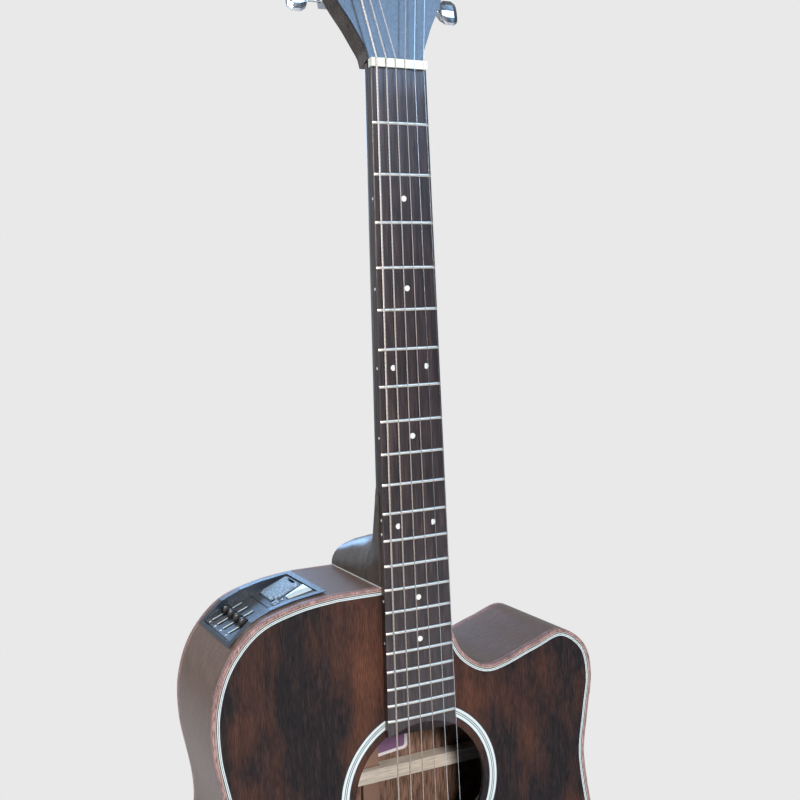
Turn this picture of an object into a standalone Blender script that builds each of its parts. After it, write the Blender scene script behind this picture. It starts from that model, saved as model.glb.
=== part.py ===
"""Acoustic-electric guitar with a rounded cutaway, hanging upright by its headstock.

Frame: +Z up along the neck, the front faces -Y and +X is the treble side. The origin is the front
edge of the nut, on the fretboard's centre line. Lengths are written in millimetres and scaled once.
"""

import math

import bmesh
import bpy
from mathutils import Matrix, Vector

MM = 0.001
GAP = 0.3  # clearance between glued or seated pieces

# Scale and fretboard
SCALE_LENGTH = 650.0
FRET_COUNT = 21
NUT_WIDTH = 42.2
TWELFTH_WIDTH = 51.7
BOARD_RADIUS = 400.0
BOARD_THICK = 6.2
FRET_HEIGHT = 0.9
FRET_WIDTH = 2.2

# Body
TOP_Y = 6.5  # outer face of the soundboard, behind the fretboard's centre line
TOP_THICK = 3.0
BACK_THICK = 2.6
RIM_THICK = 2.2
BODY_TOP_Z = -359.5
TAIL_Z = -868.0
BACK_Y_AT_NECK = 97.0
BACK_TAPER = 0.045
BACK_ARCH = 4.0
BINDING_TALL = 6.0
BINDING_WIDE = 2.2
LINING_WIDE = 6.0
LINING_TALL = 8.5
LOWER_BOUT_HALF = 206.0
WAIST_HALF = 146.2
UPPER_BOUT_HALF = 154.6
HOLE_Z = -515.6
HOLE_RADIUS = 53.0
ROSETTE_INNER = 58.0
ROSETTE_OUTER = 65.0
ROSETTE_DEPTH = 1.5

# Neck, heel and headstock
NECK_DEPTH_AT_NUT = 21.5  # with the fretboard
NECK_DEPTH_AT_HEEL = 23.6
HEEL_HALF = 27.0
HEEL_DEPTH_Y = 96.0
HEEL_TIP = 18.5
TILT = math.radians(13.0)
HEADSTOCK_THICK = 14.5
OVERLAY_THICK = 1.6
HEADSTOCK_LONG = 188.0
HEADSTOCK_WIDE = 86.0
NUT_THICK = 6.0
NUT_RISE = 1.6

# Bridge
BRIDGE_Z = -652.0  # middle of the saddle
BRIDGE_HALF = 78.0
BRIDGE_TALL = 9.0
SADDLE_LONG = 72.0
SADDLE_THICK = 3.0
SADDLE_RISE = 3.2
PIN_Z = BRIDGE_Z - 13.0
PIN_RADIUS = 2.6
PIN_LONG = 26.0
STRING_SPREAD_NUT = 36.0
STRING_SPREAD_BRIDGE = 54.0
STRING_DIAMETERS = (1.35, 1.07, 0.81, 0.61, 0.41, 0.30)

# Tuning machines, in the headstock's own plane
POST_V = (58.0, 98.0, 138.0)
POST_U = (31.0, 30.5, 30.0)
POST_RADIUS = 3.0
POST_RISE = 16.0
GEAR_TEETH = 14
GEAR_RADIUS = 5.2
GEAR_THICK = 3.2
TOOTH = 0.45
MESH_CLEARANCE = 0.6
WORM_RADIUS = 2.0
WORM_LONG = 6.0
KNOB_REACH = 20.0

# Preamp, in the plane across the bass shoulder
PREAMP_LOW = (-139.0, -390.0)
PREAMP_HIGH = (-64.0, -359.5)
PREAMP_FRONT_Y = 16.5
PREAMP_BACK_Y = 90.0
BEZEL_BORDER = 4.5
BEZEL_PROUD = 1.4
PANEL_LIFT = 1.5
TUB_DEPTH = 27.0
SLIDER_TRAVEL = 11.0
BUTTON_TRAVEL = 1.0


def fret_z(number):
    return -SCALE_LENGTH * (1 - 2 ** (-number / 12))


def board_half(z):
    return (NUT_WIDTH + (TWELFTH_WIDTH - NUT_WIDTH) * (-z) / (SCALE_LENGTH / 2)) / 2


def back_y(z):
    """Depth of the body's back edge at height z."""
    return BACK_Y_AT_NECK + (BODY_TOP_Z - z) * BACK_TAPER


def clear_scene():
    for old in list(bpy.data.objects):
        bpy.data.objects.remove(old, do_unlink=True)


def material(name, colour, roughness, metallic=0.0):
    made = bpy.data.materials.new(name)
    made.use_nodes = True
    shader = made.node_tree.nodes["Principled BSDF"]
    shader.inputs["Base Color"].default_value = (*colour, 1)
    shader.inputs["Roughness"].default_value = roughness
    shader.inputs["Metallic"].default_value = metallic
    return made


def make(name, bm, finish, parent=None, helper=False):
    """Turn a mesh in millimetres into a named object in metres."""
    bmesh.ops.recalc_face_normals(bm, faces=bm.faces)
    bmesh.ops.scale(bm, vec=(MM, MM, MM), verts=bm.verts)
    mesh = bpy.data.meshes.new(name)
    bm.to_mesh(mesh)
    bm.free()
    mesh.shade_smooth()
    mesh.set_sharp_from_angle(angle=math.radians(35))
    obj = bpy.data.objects.new(name, mesh)
    bpy.context.scene.collection.objects.link(obj)
    if finish:
        mesh.materials.append(finish)
    if parent:
        obj.parent = parent
    if helper:
        obj.hide_render = True
        obj.display_type = "WIRE"
    return obj


def boolean(obj, other, operation="DIFFERENCE"):
    cut = obj.modifiers.new(other.name, "BOOLEAN")
    cut.operation = operation
    cut.object = other


def prism(loops, front, back, grid=None):
    """Solid between y=front(x, z) and y=back(x, z); the first loop is outside, the others are holes."""
    bm = bmesh.new()
    edges = []
    for loop in loops:
        verts = [bm.verts.new((x, 0, z)) for x, z in loop]
        edges += [bm.edges.new((verts[i - 1], verts[i])) for i in range(len(verts))]
    bmesh.ops.triangle_fill(bm, use_beauty=True, edges=edges, normal=(0, -1, 0))
    for axis, places in grid or ():
        for place in places:
            spot = Vector((place, 0, 0)) if axis == "X" else Vector((0, 0, place))
            normal = Vector((1, 0, 0)) if axis == "X" else Vector((0, 0, 1))
            bmesh.ops.bisect_plane(
                bm, geom=bm.verts[:] + bm.edges[:] + bm.faces[:], plane_co=spot, plane_no=normal, dist=1e-3
            )
    extruded = bmesh.ops.extrude_face_region(bm, geom=bm.faces[:])
    moved = {item for item in extruded["geom"] if isinstance(item, bmesh.types.BMVert)}
    for vert in bm.verts:
        surface = back if vert in moved else front
        vert.co.y = surface(vert.co.x, vert.co.z)
    return bm


def flat(y):
    return lambda x, z: y


def loft(rings):
    """Closed solid through rings of equally many points, with flat ends."""
    bm = bmesh.new()
    rows = [[bm.verts.new(point) for point in ring] for ring in rings]
    count = len(rows[0])
    for low, high in zip(rows, rows[1:]):
        for i in range(count):
            bm.faces.new((low[i - 1], low[i], high[i], high[i - 1]))
    bm.faces.new(rows[0])
    bm.faces.new(rows[-1][::-1])
    return bm


def box(low, high):
    bm = bmesh.new()
    bmesh.ops.create_cube(bm, size=1)
    for vert in bm.verts:
        vert.co = [low[i] if vert.co[i] < 0 else high[i] for i in range(3)]
    return bm


def turned(profile, steps=12):
    """Solid turned about Z from (radius, height) points listed from one end to the other."""
    rings = []
    for radius, height in profile:
        rings.append(
            [
                (radius * math.cos(math.tau * i / steps), radius * math.sin(math.tau * i / steps), height)
                for i in range(steps)
            ]
        )
    return loft(rings)


def moved(bm, matrix):
    bmesh.ops.transform(bm, matrix=matrix, verts=bm.verts)
    return bm


def merged(*meshes):
    """Separate closed shapes in one mesh, for a cutter or before a union."""
    whole = bmesh.new()
    for part in meshes:
        held = bpy.data.meshes.new("held")
        bmesh.ops.recalc_face_normals(part, faces=part.faces)
        part.to_mesh(held)
        part.free()
        whole.from_mesh(held)
        bpy.data.meshes.remove(held)
    return whole


def smooth_line(points, step=21.0):
    """Points along a centripetal curve through the given ones."""
    found = []
    ends = [points[0], *points, points[-1]]
    for a, b, c, d in zip(ends, ends[1:], ends[2:], ends[3:]):
        b, c = Vector(b), Vector(c)
        start = (c - Vector(a)) / 2
        end = (Vector(d) - b) / 2
        length = (c - b).length
        start *= min(1, length / max(start.length, 1e-6))
        end *= min(1, length / max(end.length, 1e-6))
        count = max(2, math.ceil(length / step))
        for i in range(count):
            t = i / count
            found.append(
                (2 * t**3 - 3 * t**2 + 1) * b
                + (t**3 - 2 * t**2 + t) * start
                + (3 * t**2 - 2 * t**3) * c
                + (t**3 - t**2) * end
            )
    found.append(Vector(points[-1]))
    return [tuple(point) for point in found]


def body_outline():
    """The body's outer edge from the front, round from the neck's bass corner to its treble corner."""
    lower = [
        (-WAIST_HALF, -522.0),
        (-WAIST_HALF - 13, -590.0),
        (-LOWER_BOUT_HALF + 16, -655.0),
        (-LOWER_BOUT_HALF, -738.0),
        (-LOWER_BOUT_HALF + 15, -806.0),
        (-LOWER_BOUT_HALF + 66, -851.0),
        (-70.0, TAIL_Z + 2.5),
        (0.0, TAIL_Z),
    ]
    shoulder = [
        (-60.0, BODY_TOP_Z),
        (-90.0, -363.1),
        (-120.6, -373.5),
        (-143.0, -397.0),
        (-UPPER_BOUT_HALF + 0.8, -427.0),
        (-UPPER_BOUT_HALF, -460.0),
    ]
    horn = [
        (150.3, -484.0),
        (UPPER_BOUT_HALF - 0.3, -455.0),
        (148.5, -430.0),
        (127.0, -414.4),
        (100.4, -421.2),
        (62.0, -431.3),
        (40.0, -419.0),
        (29.5, -398.0),
    ]
    mirrored = [(-x, z) for x, z in reversed(lower[:-1])]
    curve = smooth_line(shoulder + lower + mirrored + horn)
    return [(-27.5, BODY_TOP_Z), *curve, (27.5, BODY_TOP_Z)]


def inset(loop, distance):
    """The loop moved inwards by a distance, with mitred corners."""
    area = sum(a[0] * b[1] - b[0] * a[1] for a, b in zip(loop, loop[1:] + loop[:1]))
    side = 1 if area > 0 else -1
    found = []
    for i, point in enumerate(loop):
        before = (Vector(point) - Vector(loop[i - 1])).normalized()
        after = (Vector(loop[(i + 1) % len(loop)]) - Vector(point)).normalized()
        normal = Vector((-before.y - after.y, before.x + after.x)).normalized() * side
        stretch = 1 / max(0.3, normal.dot(Vector((-before.y, before.x)) * side))
        found.append(tuple(Vector(point) + normal * distance * stretch))
    return found


def circle(radius, centre_z, count=48, centre_x=0.0):
    return [
        (centre_x + radius * math.cos(math.tau * i / count), centre_z + radius * math.sin(math.tau * i / count))
        for i in range(count)
    ]


def domed_back(depth):
    """Back surface, arched outwards between its edges, moved in by a depth."""

    def surface(x, z):
        across = 1 - (x / LOWER_BOUT_HALF) ** 2
        along = 1 - ((z - (BODY_TOP_Z + TAIL_Z) / 2) / ((BODY_TOP_Z - TAIL_Z) / 2)) ** 2
        return back_y(z) + BACK_ARCH * max(0, across) * max(0, along) - depth

    return surface


clear_scene()
STAINED_TOP = material("stained_top", (0.035, 0.018, 0.012), 0.45)
SIDE_WOOD = material("side_wood", (0.12, 0.085, 0.07), 0.4)
PALE_WOOD = material("pale_wood", (0.62, 0.47, 0.3), 0.7)
BINDING_WOOD = material("binding_wood", (0.4, 0.25, 0.2), 0.5)
INLAY = material("inlay", (0.75, 0.75, 0.7), 0.4)
NECK_WOOD = material("neck_wood", (0.07, 0.06, 0.05), 0.35)
ROSEWOOD = material("rosewood", (0.05, 0.03, 0.025), 0.5)
BONE = material("bone", (0.8, 0.78, 0.7), 0.35)
WIRE = material("wire", (0.6, 0.55, 0.45), 0.3, 1.0)
NICKEL = material("nickel", (0.7, 0.7, 0.68), 0.25, 1.0)
BLACK_PLASTIC = material("black_plastic", (0.02, 0.02, 0.022), 0.4)
GREY_PLASTIC = material("grey_plastic", (0.3, 0.32, 0.35), 0.6)

# Body shell
outline = body_outline()
inner = inset(outline, BINDING_WIDE + GAP)
rosette_groove = circle(ROSETTE_OUTER + GAP, HOLE_Z)
hole = circle(HOLE_RADIUS, HOLE_Z)
STRING_SHARE = [(i - 2.5) / 5 for i in range(6)]
pin_places = [(STRING_SPREAD_BRIDGE * share, PIN_Z) for share in STRING_SHARE]
pin_loops = [circle(PIN_RADIUS + GAP, z, 10, x) for x, z in pin_places]

soundboard = make(
    "soundboard", prism([inner, hole, *pin_loops], flat(TOP_Y), flat(TOP_Y + TOP_THICK)), STAINED_TOP
)
groove = make(
    "rosette_groove",
    prism(
        [rosette_groove, circle(ROSETTE_INNER - GAP, HOLE_Z)], flat(TOP_Y - 1), flat(TOP_Y + ROSETTE_DEPTH + GAP)
    ),
    None,
    helper=True,
)
boolean(soundboard, groove)
make(
    "rosette",
    prism(
        [circle(ROSETTE_OUTER, HOLE_Z), circle(ROSETTE_INNER, HOLE_Z)], flat(TOP_Y), flat(TOP_Y + ROSETTE_DEPTH)
    ),
    INLAY,
)
make(
    "top_binding",
    prism([outline, inset(outline, BINDING_WIDE)], flat(TOP_Y), flat(TOP_Y + BINDING_TALL)),
    BINDING_WOOD,
)
make(
    "back_binding",
    prism(
        [outline, inset(outline, BINDING_WIDE)],
        lambda x, z: back_y(z) - BINDING_TALL,
        lambda x, z: back_y(z),
    ),
    BINDING_WOOD,
)
rim = make(
    "rim",
    prism(
        [outline, inset(outline, RIM_THICK)],
        flat(TOP_Y + BINDING_TALL + GAP),
        lambda x, z: back_y(z) - BINDING_TALL - GAP,
    ),
    SIDE_WOOD,
)
make(
    "back_plate",
    prism(
        [inner],
        domed_back(BACK_THICK),
        domed_back(0),
        grid=[("X", (-110, 0, 110)), ("Z", (-780, -680, -560, -450))],
    ),
    SIDE_WOOD,
)
lining_loops = [inner, inset(outline, BINDING_WIDE + GAP + LINING_WIDE)]
lining_front = TOP_Y + TOP_THICK + GAP
make("top_lining", prism(lining_loops, flat(lining_front), flat(lining_front + LINING_TALL)), PALE_WOOD)
make(
    "back_lining",
    prism(
        lining_loops,
        lambda x, z: back_y(z) - BACK_THICK - GAP - LINING_TALL,
        lambda x, z: back_y(z) - BACK_THICK - GAP,
    ),
    PALE_WOOD,
)


def end_block(name, half_width, wall_z, inwards, thick):
    """Block between the linings that joins the sides at the neck or the tail."""
    clear = (LINING_WIDE + GAP) * inwards
    face = wall_z + (RIM_THICK + GAP) * inwards
    deep = back_y(wall_z) - BACK_THICK - 3 * GAP
    low, high = lining_front + LINING_TALL + GAP, back_y(wall_z) - BACK_THICK - 2 * GAP - LINING_TALL - 0.8
    side = [
        (lining_front, face + clear),
        (low, face + clear),
        (low, face),
        (high, face),
        (high, face + clear),
        (deep - 0.8, face + clear),
        (deep - 0.8, face + inwards * thick),
        (lining_front, face + inwards * thick),
    ]
    return make(name, loft([[(x, y, z) for y, z in side] for x in (-half_width, half_width)]), PALE_WOOD)


end_block("neck_block", 18.0, BODY_TOP_Z, -1, 42.0)
tail_block = end_block("tail_block", 26.0, TAIL_Z + 0.6, 1, 22.0)

# Bracing
brace_front = TOP_Y + TOP_THICK + GAP


def bar(start, end, wide, tall, front):
    """Straight brace between two (x, z) points, standing off a plate at y=front."""
    a, b = Vector(start), Vector(end)
    along = (b - a).normalized()
    across = Vector((-along.y, along.x)) * wide / 2
    corners = [a - across, b - across, b + across, a + across]
    return loft([[(p.x, front, p.y) for p in corners], [(p.x, front + tall, p.y) for p in corners]])


def union_of(name, shapes, finish):
    """One body from shapes that cross each other."""
    base = make(name, shapes[0], finish)
    for number, shape in enumerate(shapes[1:]):
        boolean(base, make(f"{name}_part_{number}", shape, None, helper=True), "UNION")
    return base


union_of(
    "top_bracing",
    [
        bar((-112, -492), (150, -744.6), 8, 12, brace_front),
        bar((112, -491.5), (-150, -745), 8, 12.4, brace_front + 0.01),
        bar((-118, -452), (118, -452.5), 10, 14, brace_front),
        bar((-106, -450), (-101, -510), 6, 9.6, brace_front + 0.03),
        bar((106, -690), (-90, -772), 7, 9, brace_front + 0.04),
    ],
    PALE_WOOD,
)
plate_loop = [(-70, -700), (70, -700), (70, -640), (-70, -640)]
make("bridge_plate", prism([plate_loop, *pin_loops], flat(brace_front + 12.8), flat(brace_front + 15.3)), PALE_WOOD)


def back_brace(z, half, tall, wide=8.0):
    deep = min(domed_back(BACK_THICK + GAP)(half, z), domed_back(BACK_THICK + GAP)(0, z)) - 0.6
    return box((-half, deep - tall, z - wide / 2), (half, deep, z + wide / 2))


union_of(
    "back_bracing",
    [
        loft(
            [
                [(x, back_y(z) - BACK_THICK - GAP - lift, z) for x, lift in ((-7, 4), (7, 4), (7, 1.5), (-7, 1.5))]
                for z in (-835, -412)
            ]
        ),
        back_brace(-464, 124, 13),
        back_brace(-538, 122, 13, 11.0),
        back_brace(-680, 160, 15),
        back_brace(-780, 160, 17),
    ],
    PALE_WOOD,
)

# Neck: shaft, heel and headstock made one
BOARD_BACK = BOARD_THICK
NECK_FRONT = BOARD_BACK + GAP


def shaft_ring(z):
    share = -z / -BODY_TOP_Z
    half = board_half(z)
    depth = NECK_DEPTH_AT_NUT + (NECK_DEPTH_AT_HEEL - NECK_DEPTH_AT_NUT) * share - NECK_FRONT
    points = [(-half, NECK_FRONT + 0.01, z)]
    for i in range(11):
        angle = math.pi * i / 10
        points.append((-half * math.cos(angle), NECK_FRONT + 1.2 + (depth - 1.2) * math.sin(angle) ** 0.85, z))
    points.append((half, NECK_FRONT + 0.01, z))
    return points


neck = make("neck", loft([shaft_ring(z) for z in (4, -20, -90, -180, -270, BODY_TOP_Z + 16)]), NECK_WOOD)


def heel_ring(y, tip, half):
    """Slice of the heel: half an ellipse standing on the body's end."""
    wall = BODY_TOP_Z + GAP
    return [
        (half * math.cos(math.pi * i / 14), y, wall + tip * math.sin(math.pi * i / 14) ** 0.9) for i in range(15)
    ]


heel_slices = (
    (NECK_FRONT + 0.02, 92.0, HEEL_HALF - 0.6),
    (NECK_FRONT + 12.0, 88.0, HEEL_HALF - 0.4),
    (21.0, 68.0, HEEL_HALF - 0.2),
    (26.0, 46.0, HEEL_HALF),
    (34.0, 36.5, HEEL_HALF),
    (50.0, 30.0, HEEL_HALF),
    (75.0, 24.5, HEEL_HALF),
    (HEEL_DEPTH_Y, HEEL_TIP, HEEL_HALF - 0.5),
)
boolean(neck, make("heel", loft([heel_ring(*s) for s in heel_slices]), None, helper=True), "UNION")

# The headstock's own plane: u across, v up the headstock, w out of its front
head = bpy.data.objects.new("headstock_plane", None)
bpy.context.scene.collection.objects.link(head)
head.location = (0, (TOP_Y - 1.5) * MM, (NUT_THICK + 1.0) * MM)
head.rotation_euler = (math.pi / 2 - TILT, 0, 0)
HEAD_MATRIX = Matrix.Translation(head.location / MM) @ head.rotation_euler.to_matrix().to_4x4()


def headstock_outline(shrink=0.0):
    half_wide = HEADSTOCK_WIDE / 2
    half_nut = board_half(0)
    side = smooth_line(
        [
            (half_nut, -1.0),
            (half_nut + 0.9, 6.0),
            (half_nut + 4.2, 13.3),
            (half_nut + 9.7, 25.0),
            (half_wide - 3.6, 40.5),
            (half_wide, 51.0),
            (half_wide - 2.5, 100.0),
            (half_wide - 3.0, HEADSTOCK_LONG - 12.0),
            (half_wide - 6.0, HEADSTOCK_LONG - 4.0),
        ],
        12.0,
    )
    crown = [(half_wide - 16.0, HEADSTOCK_LONG - 0.5), (0.0, HEADSTOCK_LONG)]
    right = side + crown
    loop = right + [(-x, z) for x, z in reversed(right[:-1])]
    return inset(loop, shrink) if shrink else loop


def head_plate(low, high, loop):
    rings = [[(x, v, w) for x, v in loop] for w in (low, high)]
    return loft(rings)


headstock_core = make(
    "headstock_core",
    moved(head_plate(-HEADSTOCK_THICK, 0.0, headstock_outline()), HEAD_MATRIX),
    None,
    helper=True,
)
boolean(neck, headstock_core, "UNION")
POSTS = [(side * POST_U[row], POST_V[row]) for side in (-1, 1) for row in range(3)]
post_holes = make(
    "post_holes",
    moved(
        merged(
            *[
                moved(turned([(POST_RADIUS + 0.4, -20), (POST_RADIUS + 0.4, 4)]), Matrix.Translation((u, v, 0)))
                for u, v in POSTS
            ]
        ),
        HEAD_MATRIX,
    ),
    None,
    helper=True,
)
boolean(neck, post_holes)
ROD_SLOT_HALF = 3.2
truss_slot = make(
    "truss_slot", box((-ROD_SLOT_HALF, NECK_FRONT - 1, -358.0), (ROD_SLOT_HALF, NECK_FRONT + 9.0, -8.0)), None, helper=True
)
boolean(neck, truss_slot)
make(
    "truss_rod",
    box((-2.9, NECK_FRONT + 0.4, -357.5), (2.9, NECK_FRONT + 8.6, -8.5)),
    NICKEL,
)
overlay = make(
    "headstock_overlay",
    head_plate(GAP, GAP + OVERLAY_THICK, headstock_outline(0.05)),
    ROSEWOOD,
    parent=head,
)
overlay_holes = make(
    "overlay_holes",
    moved(
        merged(
            *[
                moved(turned([(POST_RADIUS + 0.4, -1), (POST_RADIUS + 0.4, 4)]), Matrix.Translation((u, v, 0)))
                for u, v in POSTS
            ]
        ),
        HEAD_MATRIX,
    ),
    None,
    helper=True,
)
boolean(overlay, overlay_holes)

# Fretboard with its frets seated
BOARD_END_GAP = 1.0


def board_ring(z, rise=0.0, end=None):
    """Slice of the board; past the last fret its lower edge follows the sound hole."""
    half = board_half(z)
    across = [half * (1 - i / 2) for i in range(5)]
    top = [(x, x * x / (2 * BOARD_RADIUS) - rise, end(x) if end else z) for x in across]
    bottom = [(x, BOARD_BACK, end(x) if end else z) for x in (across[-1], across[0])]
    return top + bottom


def hole_edge(x):
    return HOLE_Z + math.sqrt((HOLE_RADIUS + BOARD_END_GAP) ** 2 - x * x)


board_rings = [board_ring(0)]
for fret in range(1, FRET_COUNT + 1):
    z = fret_z(fret)
    half_wire = FRET_WIDTH / 2
    board_rings += [
        board_ring(z + half_wire),
        board_ring(z + half_wire * 0.5, FRET_HEIGHT),
        board_ring(z - half_wire * 0.5, FRET_HEIGHT),
        board_ring(z - half_wire),
    ]
board_rings.append(board_ring(HOLE_Z + HOLE_RADIUS - 2, end=hole_edge))
make("fretboard", loft(board_rings), ROSEWOOD)
nut_half = board_half(0)
make("nut", box((-nut_half, -NUT_RISE, GAP), (nut_half, TOP_Y - 2.2, NUT_THICK)), BONE)

# Bridge, saddle, pickup and pins
BRIDGE_BACK = TOP_Y - GAP
bridge_face = BRIDGE_BACK - BRIDGE_TALL
bridge_loop = [
    (-BRIDGE_HALF, BRIDGE_Z - 3),
    (-BRIDGE_HALF, BRIDGE_Z - 17),
    (-50, BRIDGE_Z - 20),
    (0, BRIDGE_Z - 24),
    (50, BRIDGE_Z - 20),
    (BRIDGE_HALF, BRIDGE_Z - 17),
    (BRIDGE_HALF, BRIDGE_Z - 3),
    (50, BRIDGE_Z + 8),
    (-50, BRIDGE_Z + 8),
]
bridge = make(
    "bridge",
    prism(
        [bridge_loop, *pin_loops],
        lambda x, z: bridge_face if abs(x) < 60 else BRIDGE_BACK - 3.5,
        flat(BRIDGE_BACK),
    ),
    ROSEWOOD,
)
saddle_half, saddle_edge = SADDLE_LONG / 2, SADDLE_THICK / 2
slot_floor = BRIDGE_BACK - 2.5
saddle_slot = make(
    "saddle_slot",
    box(
        (-saddle_half - GAP, bridge_face - 5, BRIDGE_Z - saddle_edge - GAP),
        (saddle_half + GAP, slot_floor, BRIDGE_Z + saddle_edge + GAP),
    ),
    None,
    helper=True,
)
boolean(bridge, saddle_slot)
PICKUP_THICK = 1.0
make(
    "under_saddle_pickup",
    box(
        (-saddle_half, slot_floor - GAP - PICKUP_THICK, BRIDGE_Z - saddle_edge),
        (saddle_half, slot_floor - GAP, BRIDGE_Z + saddle_edge),
    ),
    NICKEL,
)
saddle_top = bridge_face - SADDLE_RISE
make(
    "saddle",
    box(
        (-saddle_half, saddle_top, BRIDGE_Z - saddle_edge),
        (saddle_half, slot_floor - 2 * GAP - PICKUP_THICK, BRIDGE_Z + saddle_edge),
    ),
    BONE,
)
to_front = Matrix.Rotation(math.pi / 2, 4, "X")
for number, (x, z) in enumerate(pin_places, 1):
    pin = turned(
        [(PIN_RADIUS - 0.6, -PIN_LONG), (PIN_RADIUS, -1.0), (PIN_RADIUS, GAP), (4.0, GAP), (4.2, 1.6), (2.4, 3.4)], 10
    )
    obj = make(f"bridge_pin_{number}", moved(pin, to_front), BONE)
    obj.location = (x * MM, bridge_face * MM, z * MM)

# Strings, from the bridge over the saddle and nut to the posts
POST_OF_STRING = (0, 1, 2, 5, 4, 3)
for number, share in enumerate(STRING_SHARE):
    thick = STRING_DIAMETERS[number]
    radius = thick / 2
    u, v = POSTS[POST_OF_STRING[number]]
    inwards = -1 if u > 0 else 1
    post = HEAD_MATRIX @ Vector((u + inwards * (POST_RADIUS + radius + 0.4), v, GAP + OVERLAY_THICK + 7.0))
    nut_x, bridge_x = STRING_SPREAD_NUT * share, STRING_SPREAD_BRIDGE * share
    route = [
        Vector((bridge_x, bridge_face - radius - 0.4, PIN_Z + 5.0)),
        Vector((bridge_x, saddle_top - radius - 0.4, BRIDGE_Z - 2.0)),
        Vector((bridge_x, saddle_top - radius - 0.4, BRIDGE_Z + 2.0)),
        Vector((nut_x, -NUT_RISE - radius - 0.35, 0.0)),
        Vector((nut_x, -NUT_RISE - radius - 0.35, NUT_THICK + 0.5)),
        post,
    ]
    curve = bpy.data.curves.new(f"string_{number + 1}", "CURVE")
    curve.dimensions = "3D"
    curve.bevel_depth = radius * MM
    curve.bevel_resolution = 1
    curve.use_fill_caps = True
    spline = curve.splines.new("POLY")
    spline.points.add(len(route) - 1)
    for point, place in zip(spline.points, route):
        point.co = (*(place * MM), 1)
    curve.materials.append(WIRE)
    string = bpy.data.objects.new(f"string_{number + 1}", curve)
    bpy.context.scene.collection.objects.link(string)


# Tuning machines
def worm():
    """Single-start worm along X with its valley towards the gear, which lies at +Y."""
    pitch = math.tau * GEAR_RADIUS / GEAR_TEETH
    rings = []
    count = 15
    for i in range(count + 1):
        x = (i / count - 0.5) * WORM_LONG
        ring = []
        for j in range(12):
            angle = math.tau * j / 12
            phase = math.tau * x / pitch + angle + math.pi
            radius = WORM_RADIUS + TOOTH * math.cos(phase)
            ring.append((x, radius * math.cos(angle), radius * math.sin(angle)))
        rings.append(ring)
    return rings


def gear_loop():
    points = []
    for i in range(GEAR_TEETH * 4):
        angle = math.tau * i / (GEAR_TEETH * 4)
        radius = GEAR_RADIUS + TOOTH * math.cos(GEAR_TEETH * (angle + math.pi / 2))
        points.append((radius * math.cos(angle), radius * math.sin(angle)))
    return points


MESH_DISTANCE = GEAR_RADIUS + WORM_RADIUS + MESH_CLEARANCE
GEAR_W = -HEADSTOCK_THICK - 5.5
HOUSING_BACK = -HEADSTOCK_THICK - 10.0
HOUSING_FRONT = -HEADSTOCK_THICK - GAP
for number, (u, v) in enumerate(POSTS, 1):
    outwards = 1 if u > 0 else -1
    worm_v = -MESH_DISTANCE
    gear = loft([[(x, y, w) for x, y in gear_loop()] for w in (GEAR_W - GEAR_THICK / 2, GEAR_W + GEAR_THICK / 2)])
    shaft_rings = [(POST_RADIUS, GEAR_W - 0.2), (POST_RADIUS, 10.0), (POST_RADIUS - 0.7, 11.5)]
    shaft_rings += [(POST_RADIUS - 0.7, 14.0), (POST_RADIUS, 14.8), (POST_RADIUS, POST_RISE)]
    post = make(f"tuner_post_{number}", turned(shaft_rings), NICKEL, parent=head)
    post.location = (u * MM, v * MM, 0)
    gear_obj = make(f"tuner_gear_shape_{number}", gear, None, parent=head, helper=True)
    gear_obj.location = post.location
    boolean(post, gear_obj, "UNION")
    rings = worm()
    if outwards < 0:
        rings = rings[::-1]
    end_x = outwards * WORM_LONG / 2
    shaft_end = outwards * KNOB_REACH
    stem = [
        [(x, r * math.cos(math.tau * j / 12), r * math.sin(math.tau * j / 12)) for j in range(12)]
        for x, r in (
            (end_x + outwards * 0.01, 1.5),
            (shaft_end, 1.5),
            (shaft_end + outwards * 0.5, 4.0),
        )
    ]
    knob_rings = []
    for x, half_long, half_thick in ((2, 7.0, 3.2), (6, 9.5, 3.4), (12, 9.5, 3.0), (15, 7.5, 2.2)):
        knob_rings.append(
            [
                (shaft_end + outwards * x, half_long * math.cos(math.tau * j / 12), half_thick * math.sin(math.tau * j / 12))
                for j in range(12)
            ]
        )
    knob = make(f"tuner_knob_{number}", loft(rings + stem + knob_rings), NICKEL, parent=head)
    knob.location = (u * MM, (v + worm_v) * MM, GEAR_W * MM)
    low_u, high_u = sorted((u - outwards * 8.0, u + outwards * 10.5))
    housing = make(
        f"tuner_housing_{number}",
        box((low_u, v - 11.5, HOUSING_BACK), (high_u, v + 8.0, HOUSING_FRONT)),
        NICKEL,
        parent=head,
    )
    hollow = make(
        f"tuner_hollow_{number}",
        box((low_u + 1.2, v - 10.3, HOUSING_BACK + 1.2), (high_u - 1.2, v + 6.8, HOUSING_FRONT + 2)),
        None,
        parent=head,
        helper=True,
    )
    boolean(housing, hollow)
    exit_hole = make(
        f"tuner_exit_{number}",
        moved(turned([(1.9, 0), (1.9, 8)]), Matrix.Rotation(outwards * math.pi / 2, 4, "Y")),
        None,
        parent=head,
        helper=True,
    )
    exit_hole.location = ((u + outwards * 7.0) * MM, (v + worm_v) * MM, GEAR_W * MM)
    boolean(housing, exit_hole)

# Preamp in the bass shoulder
low, high = Vector(PREAMP_LOW), Vector(PREAMP_HIGH)
chord = (high - low).normalized()
PANEL_LONG = (high - low).length
outward = Vector((-chord.y, chord.x))


def on_panel(along, out):
    """Point (x, z) at a place along the chord and a height out of it."""
    return tuple(low + chord * along + outward * out)


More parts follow.
